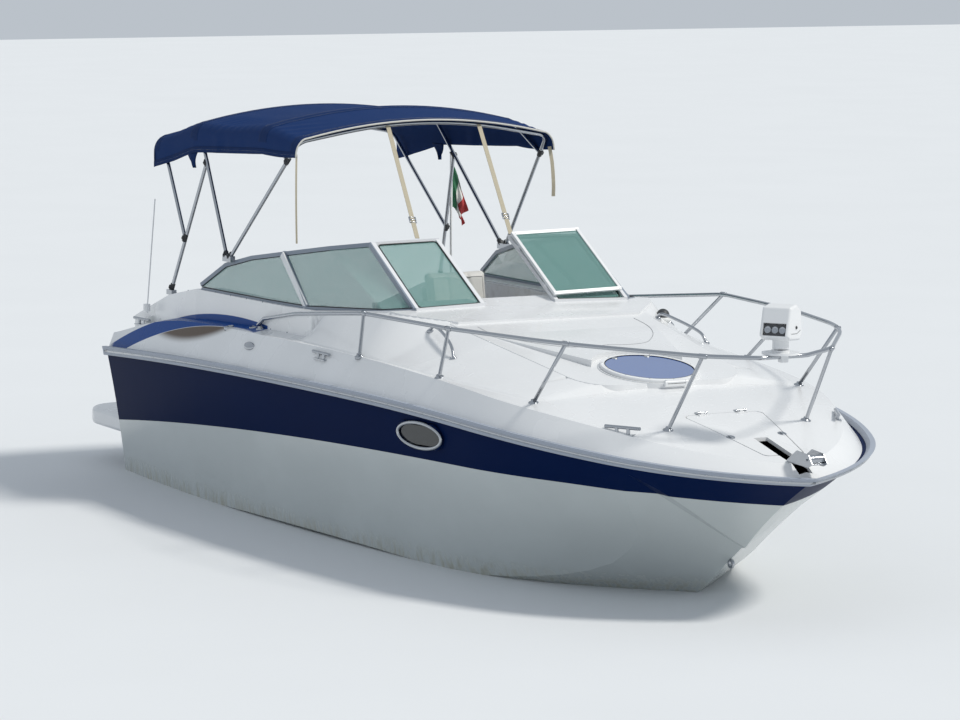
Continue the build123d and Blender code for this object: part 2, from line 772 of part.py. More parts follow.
def make_bow(foot_x, foot_w, foot_z, arch_x, arch_w, crown_z):
    """One bow: straight legs and a wide arch between them."""
    port = [(arch_x, BOW_FLAT, crown_z), (arch_x, arch_w, crown_z - BOW_DROP), (foot_x, foot_w, foot_z)]
    starboard = [(x, -y, z) for x, y, z in reversed(port)]
    return tube(starboard + port, TUBE_D, [BOW_BEND, BOW_CROWN_R, BOW_CROWN_R, BOW_BEND])


def make_canopy():
    sections = []
    for row in CANOPY_RIBS:
        sections.append(canopy_rib(*row))
    return loft(sections)


def canopy_rib(x, width, edge_z, shoulder_z, crown_z):
    """One arch of the cloth, as thick as the cloth with its bows' pockets."""
    def arch(inset):
        side = width - inset
        shoulder = width - CANOPY_BEND
        level = shoulder_z - inset
        rise = Line((side, edge_z), (side, shoulder_z - CANOPY_TURN))
        bend = TangentArc(rise @ 1, (shoulder, level), tangent=(0, 1))
        crown = ThreePointArc((shoulder, level), (0, crown_z - inset), (-shoulder, level))
        return [rise, bend, crown, bend.mirror(Plane.YZ), rise.mirror(Plane.YZ)]

    outer, inner = arch(0), arch(CANOPY_THICK)
    hem = Line((width, edge_z), (width - CANOPY_THICK, edge_z))
    plane = Plane(origin=(x, 0, 0), x_dir=(0, 1, 0), z_dir=(1, 0, 0))
    return plane * make_face(outer + inner + [hem, hem.mirror(Plane.YZ)])


def make_rail():
    starboard = [(x, -w, z) for x, w, z in RAIL_PATH]
    port = [(x, w, z) for x, w, z in reversed(RAIL_PATH)]
    rail = tube(starboard + port, RAIL_D, RAIL_BENDS + RAIL_BENDS[::-1])
    return rail


def make_stanchions():
    posts = []
    for foot, head in STANCHIONS:
        post = tube([foot, head], STANCHION_D)
        posts += both_sides(post)
    return posts


def make_cleat(x, y, z, turn):
    base = Pos(0, 0, 3) * Box(150, 42, 8)
    bar = Rot(0, 90, 0) * Cylinder(10, 230)
    horn = Pos(0, 0, 42) * bar
    legs = [Pos(dx, 0, 22) * Cylinder(11, 36) for dx in (-38, 38)]
    return Pos(x, y, z) * Rot(0, 0, turn) * (base + horn + legs[0] + legs[1])


def make_hatch():
    """Ring let into the pad, and the round lid that hinges at its fore edge."""
    seat = HATCH_RING_TALL + HATCH_RING_DEEP
    ring = extrude(Circle(HATCH_RING_R) - Circle(HATCH_HOLE_R - HATCH_RING_IN), seat)
    axis_x = HATCH_LID_R + HATCH_EAR_OUT
    axis_z = seat + 1 + HATCH_LID_TALL / 2
    reach = HATCH_LUG / 2 + 2 + HATCH_EAR_THICK
    ring += block(HATCH_LID_R - 20, axis_x + HATCH_EAR_R, -reach, reach, seat - 14, seat)
    for side in (1, -1):
        low, high = sorted((side * (HATCH_LUG / 2 + 2), side * reach))
        ring += block(axis_x - HATCH_EAR_R, axis_x + HATCH_EAR_R, low, high, seat - 14, axis_z)
        ring += across(axis_x, low, high, axis_z, 2 * HATCH_EAR_R)
    ring += across(axis_x, -reach, reach, axis_z, 2 * PIN_R)
    rim = extrude(Circle(HATCH_LID_R) - Circle(HATCH_LENS_R), HATCH_LID_TALL)
    rim = fillet(rim.edges().group_by(Axis.Z)[-1], 6)
    lug = block(HATCH_LENS_R + 10, axis_x, -HATCH_LUG / 2, HATCH_LUG / 2, 1, HATCH_LID_TALL)
    knuckle = across(axis_x, -HATCH_LUG / 2, HATCH_LUG / 2, HATCH_LID_TALL / 2, HATCH_LID_TALL - 2)
    bore = across(axis_x, -HATCH_LUG, HATCH_LUG, HATCH_LID_TALL / 2, 2 * (PIN_R + PIN_PLAY))
    rim = rim + lug + knuckle - bore
    lens = Pos(0, 0, 4) * extrude(Circle(HATCH_LENS_R), HATCH_LID_TALL - 8)
    place = hatch_place(HATCH_RING_TALL + 1)
    return hatch_place(-HATCH_RING_DEEP) * ring, place * rim, place * lens


def make_drive():
    """Transom housing, swivel ring, leg and propeller of the sterndrive."""
    ear = block(DRIVE_X - 40, STERN_X - 5, -45, 45, -EAR_THICK / 2, EAR_THICK / 2)
    housing = block(STERN_X - HOUSING_THICK, STERN_X, -170, 170, DRIVE_Z - 240, DRIVE_Z + 210, 12)
    for side in (1, -1):
        level = DRIVE_Z + side * (RING_HALF + RUN_GAP + EAR_THICK / 2)
        housing += Pos(0, 0, level) * ear
    steer_hole = Pos(DRIVE_X, 0, DRIVE_Z) * Cylinder(SHAFT_R + SHAFT_PLAY, 600)
    housing -= steer_hole
    ring = Pos(DRIVE_X, 0, DRIVE_Z) * Box(70, 2 * RING_WIDE, 2 * RING_HALF)
    ring += Pos(DRIVE_X, 0, DRIVE_Z) * Cylinder(SHAFT_R, 2 * (RING_HALF + RUN_GAP + EAR_THICK))
    ring -= across(DRIVE_X, -400, 400, DRIVE_Z, 2 * (SHAFT_R + SHAFT_PLAY))
    leg = make_leg()
    return housing, ring, leg, make_propeller()


def make_leg():
    """Upper housing on its two arms, strut, plate, torpedo, skeg and shaft."""
    arm_in = RING_WIDE + RUN_GAP
    leg = block(DRIVE_X - 360, DRIVE_X - 90, -130, 130, DRIVE_Z - 190, DRIVE_Z + 50, 30)
    for side in (1, -1):
        low, high = sorted((side * arm_in, side * (arm_in + ARM_THICK)))
        leg += block(DRIVE_X - 120, DRIVE_X + 20, low, high, DRIVE_Z - 45, DRIVE_Z + 35, 8)
        near, far = sorted((side * 20, side * (arm_in + 5)))
        leg += across(DRIVE_X, near, far, DRIVE_Z, 2 * SHAFT_R)
    axis_z = DRIVE_Z - PROP_DROP
    strut = [
        Pos(0, 0, DRIVE_Z - 180) * leg_section(DRIVE_X - 110, DRIVE_X - 400, 110),
        Pos(0, 0, DRIVE_Z - 330) * leg_section(DRIVE_X - 170, DRIVE_X - 430, 80),
        Pos(0, 0, axis_z + 20) * leg_section(DRIVE_X - 210, DRIVE_X - 440, 64),
    ]
    leg += loft(strut)
    plate = make_face(
        Polyline(
            (DRIVE_X - 160, -60),
            (DRIVE_X - 340, -PLATE_W),
            (PROP_X, -PLATE_W),
            (PROP_X, PLATE_W),
            (DRIVE_X - 340, PLATE_W),
            (DRIVE_X - 160, 60),
            close=True,
        )
    )
    leg += Pos(0, 0, DRIVE_Z - PLATE_DROP) * extrude(fillet(plate.vertices(), 30), 12)
    body_x = DRIVE_X - 230
    tail_x = PROP_X + PROP_LONG / 2 + RUN_GAP
    torpedo = extrude(Plane(origin=(tail_x, 0, axis_z), z_dir=(1, 0, 0)) * Circle(HUB_R), body_x - tail_x)
    leg += torpedo
    leg += Pos(body_x, 0, axis_z) * Sphere(HUB_R)
    skeg = [
        (DRIVE_X - 230, axis_z - 30),
        (DRIVE_X - 450, axis_z - 30),
        (DRIVE_X - 520, axis_z - 190),
        (DRIVE_X - 410, axis_z - 200),
    ]
    leg += profile_block(skeg, -7, 7)
    shaft = Plane(origin=(tail_x + 1, 0, axis_z), z_dir=(-1, 0, 0)) * Circle(SHAFT_R)
    return leg + extrude(shaft, PROP_LONG + 2 * RUN_GAP + 12)


def leg_section(fore_x, aft_x, wide):
    """Streamlined section, round in front and drawn to a thin tail."""
    half = wide / 2
    middle = fore_x - 0.35 * (fore_x - aft_x)
    nose = ThreePointArc((middle, -half), (fore_x, 0), (middle, half))
    port = Line((middle, half), (aft_x, 6))
    tail = Line((aft_x, 6), (aft_x, -6))
    starboard = Line((aft_x, -6), (middle, -half))
    return make_face([nose, port, tail, starboard])


def make_propeller():
    """Hub and raked blades, bored to run on the drive's shaft."""
    axis_z = DRIVE_Z - PROP_DROP
    hub = Cylinder(HUB_R, PROP_LONG)
    blade = extrude(Pos(0, HUB_R + 62, 0) * Ellipse(62, 82), BLADE_THICK / 2, both=True)
    blade = Rot(0, BLADE_PITCH, 0) * blade
    for index in range(BLADES):
        hub += Rot(0, 0, index * 360 / BLADES) * blade
    hub -= Cylinder(SHAFT_R + SHAFT_PLAY, PROP_LONG + 20)
    return Pos(PROP_X, 0, axis_z) * Rot(0, 90, 0) * hub


def make_seat():
    post = Pos(SEAT_X, SEAT_Y, SOLE_Z) * extrude(Circle(150), 12)
    post += Pos(SEAT_X, SEAT_Y, SOLE_Z) * extrude(Circle(POST_R), SEAT_BASE_Z - SOLE_Z - 60)
    post += Pos(SEAT_X, SEAT_Y, SOLE_Z) * extrude(Circle(POST_PIN_R), SEAT_BASE_Z - SOLE_Z - 10)
    x_low, x_high = SEAT_X - SEAT_DEEP / 2, SEAT_X + SEAT_DEEP / 2
    y_low, y_high = SEAT_Y - SEAT_WIDE / 2, SEAT_Y + SEAT_WIDE / 2
    shell = block(x_low, x_high, y_low, y_high, SEAT_BASE_Z - 50, SEAT_BASE_Z, 18)
    back_points = [
        (x_low + 40, SEAT_BASE_Z - 30),
        (x_low - 60, SEAT_BACK_TOP_Z - 120),
        (x_low - 85, SEAT_BACK_TOP_Z - 120),
        (x_low, SEAT_BASE_Z - 30),
    ]
    shell += profile_block(back_points, y_low + 20, y_high - 20)
    shell -= Pos(SEAT_X, SEAT_Y, SEAT_BASE_Z - 60) * extrude(Circle(POST_PIN_R + POST_PLAY), 50.5)
    cushion = block(x_low + 60, x_high + 30, y_low + 10, y_high - 10, SEAT_BASE_Z + 1, SEAT_BASE_Z + 110, 40)
    back = profile_block(
        [
            (x_low + 135, SEAT_BASE_Z + 115),
            (x_low + 20, SEAT_BACK_TOP_Z),
            (x_low - 55, SEAT_BACK_TOP_Z),
            (x_low + 42, SEAT_BASE_Z + 115),
        ],
        y_low + 5, y_high - 5,
    )
    back = fillet(back.edges(), 30)
    return post, shell, cushion - shell, back - shell


def make_dash():
    points = [
        (DASH_FORE_X, SOLE_Z + 1), (DASH_FORE_X, 1380), (-120, 1395), (-290, 1330), (-365, 1180),
        (-300, 1000), (-300, SOLE_Z + 1),
    ]
    dash = profile_block(points, DASH_LOW_Y, WELL_W - LINER_WALL - 1)
    boss = wheel_place(30 + RUN_GAP) * extrude(Circle(46), 110)
    dash += boss
    dash -= wheel_place(0) * extrude(Circle(WHEEL_SHAFT_R + SHAFT_PLAY), WHEEL_SHAFT_LONG + 20)
    return dash


def wheel_place(lift):
    """Frame of the steering wheel: its Z runs along the column towards the bow and down."""
    plane = Plane(
        origin=(WHEEL_X, WHEEL_Y, WHEEL_Z),
        x_dir=(sin(radians(WHEEL_RAKE)), 0, cos(radians(WHEEL_RAKE))),
        z_dir=(cos(radians(WHEEL_RAKE)), 0, -sin(radians(WHEEL_RAKE))),
    )
    return plane.location * Pos(0, 0, lift)


def swing_axis():
    """Point and direction of the centre pane's hinge, just in front of the port post."""
    foot, head = Vector(*FRONT_FOOT_IN), Vector(*FRONT_HEAD_IN)
    along = (head - foot).normalized()
    out = Vector(0, 1, 0).cross(along) * -1
    if out.X < 0:
        out = out * -1
    point = foot + out * SWING_OFFSET - Vector(0, FRAME_D / 2 + SWING_GAP / 2, 0)
    return point, along


def swing_hinges():
    """Fixed and moving halves of the centre pane's two hinges, drawn shut."""
    point, along = swing_axis()
    length = (Vector(*FRONT_HEAD_IN) - Vector(*FRONT_FOOT_IN)).length
    third = SWING_HINGE_LONG / 6
    fixed, moving = [], []
    for share in SWING_HINGE_AT:
        plane = Plane(origin=point + along * (share * length), x_dir=Vector(0, 1, 0), z_dir=along)
        half = Cylinder(SWING_PIN_R, SWING_HINGE_LONG)
        leaf_low = -SWING_OFFSET + SWING_FRAME / 2 - 1
        toward = 1 if plane.y_dir.X > 0 else -1
        for side in (1, -1):
            near, far = sorted((side * (third + KNUCKLE_GAP), side * SWING_HINGE_LONG / 2))
            half += Pos(0, 0, (near + far) / 2) * Cylinder(SWING_KNUCKLE_R, far - near)
            low, high = sorted((toward * leaf_low, toward * -2))
            half += block(0, SWING_KNUCKLE_R + SWING_GAP, low, high, near, far)
        turn = Cylinder(SWING_KNUCKLE_R, 2 * third)
        low, high = sorted((toward * leaf_low, toward * -2))
        turn += block(-SWING_KNUCKLE_R - SWING_GAP, 0, low, high, -third, third)
        turn -= Cylinder(SWING_PIN_R + PIN_PLAY, SWING_HINGE_LONG)
        fixed.append(plane.location * half)
        moving.append(plane.location * turn)
    return fixed, moving


def make_swing_pane():
    """Centre pane, modelled shut and then swung open to port."""
    foot, head = Vector(*FRONT_FOOT_IN), Vector(*FRONT_HEAD_IN)
    along = (head - foot).normalized()
    edge = FRONT_FOOT_IN[1] - FRAME_D / 2 - SWING_GAP - SWING_FRAME / 2
    low = foot + along * SWING_LIFT
    high = head - along * SWING_DROP
    corners = [(low.X, edge, low.Z), (high.X, edge, high.Z), (high.X, -edge, high.Z), (low.X, -edge, low.Z)]
    port_low, port_high, star_high, star_low = corners
    half = SWING_FRAME / 2
    frame = beam([port_low, star_low], SWING_FRAME, SWING_FRAME, half)
    frame += beam([port_high, star_high], SWING_FRAME, SWING_FRAME, half)
    frame += beam([port_low, port_high], SWING_FRAME, SWING_FRAME, half)
    frame += beam([star_low, star_high], SWING_FRAME, SWING_FRAME, half)
    glass = pane(port_low, star_low, star_high, port_high)
    frame -= glass
    for turn in swing_hinges()[1]:
        frame += turn
    point, direction = swing_axis()
    axis = Axis((point.X, point.Y, point.Z), (direction.X, direction.Y, direction.Z))
    return frame.rotate(axis, SWING_OPEN), glass.rotate(axis, SWING_OPEN)


def make_slider():
    """Companionway door, and the rails above and below that it slides in."""
    half = DOORWAY_W / 2 + SLIDER_LAP
    low_z, high_z = SOLE_Z + DOORWAY_SILL - SLIDER_LAP, DOORWAY_TOP_Z + SLIDER_LAP
    door = block(SLIDER_LOW_X, SLIDER_LOW_X + SLIDER_THICK, -half, half, low_z, high_z)
    pull = block(SLIDER_LOW_X - 14, SLIDER_LOW_X, half - 60, half - 40, 760, 900, 4)
    rail_low = -half - SLIDER_TRAVEL - 12
    fore = WELL_FORE_X - LINER_WALL
    tracks = []
    for z_low in (low_z - RUN_GAP - TRACK_THICK, high_z + RUN_GAP):
        z_high = z_low + TRACK_THICK
        tracks.append(block(SLIDER_LOW_X - 10, fore, rail_low, half + 6, z_low, z_high, 3))
    return door + pull, tracks


def make_transom_door():
    """Door in the port quarter and the fixed halves of its hinges on the transom."""
    aft_x = STERN_X + 6
    door = block(
        aft_x,
        aft_x + DOOR_THICK,
        DOOR_LOW_Y + RUN_GAP,
        DOOR_HIGH_Y - RUN_GAP,
        DOOR_SILL_Z + RUN_GAP,
        DOOR_TOP_Z,
        6,
    )
    halves = []
    for z in DOOR_HINGE_ZS:
        place = Pos(STERN_X - KNUCKLE_R, DOOR_HIGH_Y, z) * Rot(0, 0, 90)
        fixed, moving = butt_hinge(place)
        halves.append(fixed)
        low, high = z - HINGE_LONG / 2, z + HINGE_LONG / 2
        door += moving + block(STERN_X - 1, aft_x + 1, DOOR_HIGH_Y - HINGE_LEAF, DOOR_HIGH_Y - 12, low, high)
    return door, halves


def make_aft_seats():
    inner_w = WELL_W - LINER_WALL - 1
    outer = block(BOX_AFT_X, BOX_FORE_X, -inner_w, BOX_PORT_Y, SOLE_Z + 1, BOX_TOP_Z)
    room = block(
        BOX_AFT_X + BOX_WALL, BOX_FORE_X - BOX_WALL, BOX_WALL - inner_w, BOX_PORT_Y - BOX_WALL, SOLE_Z, BOX_TOP_Z + 1
    )
    bench = block(BOX_FORE_X, BENCH_FORE_X, -inner_w, BOX_PORT_Y, SOLE_Z + 1, BENCH_TOP_Z)
    toe = block(BENCH_FORE_X - 90, BENCH_FORE_X + 1, -inner_w - 1, BOX_PORT_Y + 1, SOLE_Z, SOLE_Z + 110)
    shelf_top = BOX_TOP_Z + 2 + SUNPAD_LID
    shelf = block(BOX_AFT_X, SUNPAD_HINGE_X - HINGE_SLOT, -inner_w, BOX_PORT_Y, BOX_TOP_Z - 20, shelf_top)
    box = outer - room + bench - toe + shelf
    side, port, pad_z = 6 - inner_w, BOX_PORT_Y - 4, BENCH_TOP_Z + CUSHION_THICK
    seat = block(BOX_FORE_X + 5, BENCH_FORE_X + 25, side, port, BENCH_TOP_Z + 1, pad_z, CUSHION_ROUND)
    rest = block(BOX_FORE_X + 2, BOX_FORE_X + 120, side, port, pad_z + 4, BENCH_BACK_Z, CUSHION_ROUND)
    lid_aft = SUNPAD_HINGE_X + HINGE_SLOT
    lid = block(lid_aft, BOX_FORE_X - 12, -inner_w + RUN_GAP, BOX_PORT_Y, BOX_TOP_Z + 2, shelf_top)
    aft, fore, pad_z = SUNPAD_HINGE_X + 100, BOX_FORE_X - 20, shelf_top + 1
    pad = block(aft, fore, 14 - inner_w, BOX_PORT_Y - 6, pad_z, pad_z + SUNPAD_PAD, 30)
    for y in (-700, 250):
        place = Pos(SUNPAD_HINGE_X, y, shelf_top + KNUCKLE_R) * Rot(90, 0, 0) * Rot(0, 180, 0)
        fixed, moving = butt_hinge(place)
        box += fixed
        lid += moving
    return box, [seat, rest], lid, pad


def make_lounge():
    inner_w = WELL_W - LINER_WALL - 1
    base = block(LOUNGE_AFT_X, LOUNGE_FORE_X, -inner_w, -inner_w + LOUNGE_WIDE, SOLE_Z + 1, BENCH_TOP_Z, 12)
    aft, fore, pad_z = LOUNGE_AFT_X + 4, LOUNGE_FORE_X - 4, BENCH_TOP_Z + CUSHION_THICK
    seat = block(aft, fore, 4 - inner_w, LOUNGE_WIDE - inner_w, BENCH_TOP_Z + 1, pad_z, CUSHION_ROUND)
    back = block(aft, fore, 2 - inner_w, 110 - inner_w, pad_z + 4, LOUNGE_BACK_Z, CUSHION_ROUND)
    return base, [seat, back]


def make_platform():
    plan = make_face(
        Polyline(
            (STERN_X, -PLATFORM_W),
            (STERN_X, PLATFORM_W),
            (PLATFORM_AFT_X, PLATFORM_W),
            (PLATFORM_AFT_X, -PLATFORM_W),
            close=True,
        )
    )
    plan = fillet(plan.vertices().sort_by(Axis.X)[:2], PLATFORM_CORNER_R)
    slab = Pos(0, 0, PLATFORM_TOP_Z - PLATFORM_THICK) * extrude(plan, PLATFORM_THICK)
    rim = slab.edges().filter_by(lambda edge: edge.center().X < STERN_X - 5)
    rim = rim.filter_by(lambda edge: abs((edge @ 0).Z - (edge @ 1).Z) < 1)
    return fillet(rim, 30)


def make_spotlight():
    """Foot clamped on the front of the rail, and the head that turns on its pin."""
    foot = Pos(LIGHT_X, 0, LIGHT_Z) * extrude(Circle(LIGHT_FOOT_R), 12)
    foot += Pos(LIGHT_X, 0, LIGHT_Z) * extrude(Circle(LIGHT_COLLAR_R), 24)
    foot += Pos(LIGHT_X, 0, LIGHT_Z) * extrude(Circle(LIGHT_PIN_R), 24 + RUN_GAP + 40)
    foot += block(LIGHT_X + 8, LIGHT_X + 50, -24, 24, LIGHT_Z - 44, LIGHT_Z + 2, 6)
    head = profile_block(LIGHT_PROFILE, -LIGHT_HEAD_W, LIGHT_HEAD_W)
    head = fillet(head.edges(), LIGHT_ROUND)
    lower, upper = [Vector(x, 0, z) for x, z in LIGHT_PROFILE[1:3]]
    rise = (upper - lower).normalized()
    face = Plane(origin=(lower + upper) * 0.5, x_dir=Vector(0, 1, 0), z_dir=Vector(rise.Z, 0, -rise.X))
    window = face.offset(-LIGHT_FACE_DEEP) * Rectangle(2 * LIGHT_HEAD_W - 36, (upper - lower).length - 14)
    head -= extrude(window, LIGHT_FACE_DEEP + 20)
    head += extrude(Circle(LIGHT_NECK_R), 60)
    head -= extrude(Circle(LIGHT_PIN_R + PIN_PLAY), 41)
    return foot, Pos(LIGHT_X, 0, LIGHT_Z + 24 + RUN_GAP) * Rot(0, 0, LIGHT_AIM) * head


def make_roller():
    """Stemhead fitting: two cheeks, a floor and the roller between them."""
    floor = block(3535, 3650, -52, 52, 905, 915, 3)
    cheeks = []
    for side in (1, -1):
        low, high = sorted((side * 46, side * 52))
        points = [(3420, 910), (3520, 975), (3640, 965), (3680, 915), (3640, 895), (3420, 900)]
        cheeks.append(profile_block(points, low, high))
    wheel = across(3625, -44, 44, 935, 52)
    pin = across(3625, -60, 60, 935, 12)
    return floor + cheeks[0] + cheeks[1] + pin + wheel


def make_bow_eye():
    """Towing eye on the stem above the water."""
    ring = across(EYE_X, -EYE_THICK / 2, EYE_THICK / 2, EYE_Z, 2 * EYE_OUTER_R)
    return ring - across(EYE_X, -EYE_THICK, EYE_THICK, EYE_Z, 2 * EYE_BORE_R)


def make_ports():
    rims, panes = [], []
    for side in (1, -1):
        rim = port_slot(side, PORT_RIM, 0, 10) + port_slot(side, -1, -HULL_WALL, 5)
        rim -= port_slot(side, -14, -120, 60)
        rims.append(rim)
        panes.append(port_slot(side, -14.5, -12, -4))
    return rims, panes


def make_straps():
    return [beam([foot, head], STRAP_WIDE, STRAP_THICK) for foot, head in STRAPS]


def make_canopy_frame():
    """Four bows on two shoes a side, with the braces that hold them up."""
    front, top, main, aft = [make_bow(*row) for row in BOWS]
    braces = []
    for side in (1, -1):
        foot = (BRACE_FOOT[0], side * BRACE_FOOT[1], BRACE_FOOT[2])
        head = (BRACE_HEAD[0], side * BRACE_HEAD[1], BRACE_HEAD[2])
        brace = tube([foot, head], TUBE_D) + Pos(*foot) * Pos(0, 0, -12) * Box(90, 36, 34)
        braces.append(brace - main)
        main += Pos(BOWS[0][0] - 30, side * BOWS[0][1], BOWS[0][2] - 14) * Box(130, 34, 40)
    front -= main
    return [front, top - front, main, aft - braces[0] - braces[1], braces[0], braces[1]]


def save(name, shapes):
    pieces = shapes if isinstance(shapes, (list, tuple)) else [shapes]
    solids = [solid for piece in pieces for solid in piece.solids()]
    whole = solids[0] if len(solids) == 1 else Compound(children=solids)
    export_step(whole, f"parts/{name}.step")


def make_all():
    nodes = {}
    lower, band = make_hull()
    deck = make_deck()
    nodes["hull_lower"] = slices(lower, BOTTOM_STATIONS, high=0) + slices(lower, low=0)
    nodes["hull_band"] = slices(band)
    nodes["rub_rail"] = slices(make_rub_rail() - deck)
    nodes["deck"] = slices(deck, DECK_STATIONS)
    nodes["locker_lid"], deck_hinges = make_locker_lid(deck)
    nodes["berth_base"], nodes["berth_cushion"], nodes["cabin_sole"] = make_berth()
    frame, front, side = make_windshield()
    frame -= deck
    port_frame = frame
    for half in swing_hinges()[0]:
        port_frame += half
    nodes["windshield_frame"] = [port_frame, flip(frame)]
    nodes["cockpit_liner"] = make_liner() - frame - flip(frame)
    nodes["front_glass"] = both_sides(front - deck)
    nodes["side_glass"] = both_sides(side - deck)
    nodes["swing_frame"], nodes["swing_glass"] = make_swing_pane()
    nodes["companion_door"], nodes["door_tracks"] = make_slider()
    nodes["transom_door"], door_hinges = make_transom_door()
    nodes["hinges"] = deck_hinges + door_hinges
    nodes["engine_box"], nodes["bench_cushions"], nodes["sunpad_lid"], nodes["sunpad"] = make_aft_seats()
    nodes["lounge_base"], nodes["lounge_cushions"] = make_lounge()
    nodes["engine"] = block(BOX_AFT_X + 60, BOX_FORE_X - 60, -330, 330, SOLE_Z + 20, BOX_TOP_Z - 90, 20)
    nodes["swim_platform"] = make_platform()
    nodes["drive_housing"], nodes["drive_ring"], nodes["drive_leg"], nodes["propeller"] = make_drive()
    nodes["dash"] = make_dash()
    wheel = wheel_place(0) * make_wheel()
    nodes["steering_wheel"] = wheel
    nodes["seat_post"], nodes["seat_shell"], cushion, back = make_seat()
    nodes["seat_cushions"] = [cushion, back]
    rail = make_rail()
    for post in make_stanchions():
        rail += post
    rail = largest(rail - deck)
    ring, nodes["hatch_rim"], nodes["hatch_lens"] = make_hatch()
    nodes["hatch_ring"] = ring - deck
    nodes["port_rims"], nodes["port_glass"] = make_ports()
    cleats = [make_cleat(*row) for row in CLEATS]
    nodes["cleats"] = [largest(cleat - deck) for cleat in cleats]
    nodes["bow_roller"] = make_roller() - deck
    nodes["bow_eye"] = make_bow_eye() - lower - band
    bows = make_canopy_frame()
    canopy = make_canopy()
    for index, bow in enumerate(bows):
        bow -= deck
        for half in both_sides(frame) + both_sides(side):
            bow -= half
        bows[index] = largest(bow)
        canopy -= bows[index]
    nodes["canopy_frame"] = bows
    nodes["canopy"] = canopy
    nodes["canopy_straps"] = [strap - bows[0] for strap in make_straps()]
    foot, nodes["spotlight_head"] = make_spotlight()
    nodes["spotlight_foot"] = foot - rail
    nodes["bow_rail"] = rail
    antenna = tube([(-3150, -1085, 1150), (-2995, -1085, 1945)], 9)
    antenna += Pos(-3150, -1085, 1160) * extrude(Circle(24), 50)
    nodes["antenna"] = antenna - deck
    nodes["trim_tabs"] = both_sides(block(STERN_X - 230, STERN_X, 480, 900, -262, -252))
    return nodes


def make_wheel():
    rim = Torus(WHEEL_R, WHEEL_RIM_R)
    hub = Pos(0, 0, -10) * extrude(Circle(42), 40)
    wheel = rim + hub
    for turn in (0, 120, 240):
        wheel += Rot(0, 0, turn) * Pos(WHEEL_R / 2, 0, 0) * Box(WHEEL_R, 26, 8)
    return wheel + Pos(0, 0, 20) * extrude(Circle(WHEEL_SHAFT_R), WHEEL_SHAFT_LONG - 20)


os.makedirs("parts", exist_ok=True)
for node_name, node_shapes in make_all().items():
    save(node_name, node_shapes)
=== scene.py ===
"""Looks of a small cabin motor boat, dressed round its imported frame."""
import json
from math import atan2, cos, exp, pi, radians, sin

import bmesh
import bpy
from bpy.props import FloatProperty, FloatVectorProperty, PointerProperty
from bpy.types import Operator, Panel, PropertyGroup
from mathutils import Matrix, Vector, noise
from mathutils.bvhtree import BVHTree


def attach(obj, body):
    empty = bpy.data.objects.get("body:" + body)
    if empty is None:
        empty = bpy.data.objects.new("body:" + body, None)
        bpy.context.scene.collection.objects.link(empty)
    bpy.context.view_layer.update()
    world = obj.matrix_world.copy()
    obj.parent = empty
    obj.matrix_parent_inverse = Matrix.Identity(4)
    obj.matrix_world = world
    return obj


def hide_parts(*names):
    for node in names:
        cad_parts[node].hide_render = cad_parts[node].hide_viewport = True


bl_info = {
    "name": "Cabin Boat Dressing",
    "version": (1, 0, 0),
    "blender": (4, 5, 0),
    "location": "View3D > Sidebar > Boat",
    "description": "Finishes, canvas, cushions and fittings of a small cabin motor boat",
    "category": "Object",
}

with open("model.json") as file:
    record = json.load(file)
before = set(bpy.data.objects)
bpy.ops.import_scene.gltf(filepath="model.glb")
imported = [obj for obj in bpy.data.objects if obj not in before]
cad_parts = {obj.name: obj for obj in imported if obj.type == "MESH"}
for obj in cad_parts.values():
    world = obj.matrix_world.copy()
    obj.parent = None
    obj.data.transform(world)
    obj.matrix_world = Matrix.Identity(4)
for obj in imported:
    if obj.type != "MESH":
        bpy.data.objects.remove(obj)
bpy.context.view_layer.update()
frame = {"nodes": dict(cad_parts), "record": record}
PORT, STARBOARD = 1, -1
SIDES = (STARBOARD, PORT)
finishes = {}


class Wire:
    """A socket of one finish, on which sums are written as plain expressions."""

    def __init__(self, finish, socket):
        self.finish = finish
        self.socket = socket

    def sum_with(self, operation, *others):
        terms = dict(enumerate((self, *others)))
        return self.finish.node("ShaderNodeMath", {"operation": operation}, terms)

    def __add__(self, other):
        return self.sum_with("ADD", other)

    __radd__ = __add__

    def __mul__(self, other):
        return self.sum_with("MULTIPLY", other)

    __rmul__ = __mul__

    def __sub__(self, other):
        return self.sum_with("SUBTRACT", other)

    def __rsub__(self, other):
        return self.finish.node("ShaderNodeMath", {"operation": "SUBTRACT"}, {0: other, 1: self})

    def __truediv__(self, other):
        return self.sum_with("DIVIDE", other)

    def over(self, other):
        return self.sum_with("GREATER_THAN", other)

    def most(self, other):
        return self.sum_with("MAXIMUM", other)

    def size(self):
        return self.sum_with("ABSOLUTE")

    def sine(self):
        return self.sum_with("SINE")

    def ramp(self, low, high):
        """0 below low, 1 above high and smooth between."""
        sockets = {"Value": self, "From Min": low, "From Max": high}
        return self.finish.node("ShaderNodeMapRange", {"interpolation_type": "SMOOTHSTEP"}, sockets)


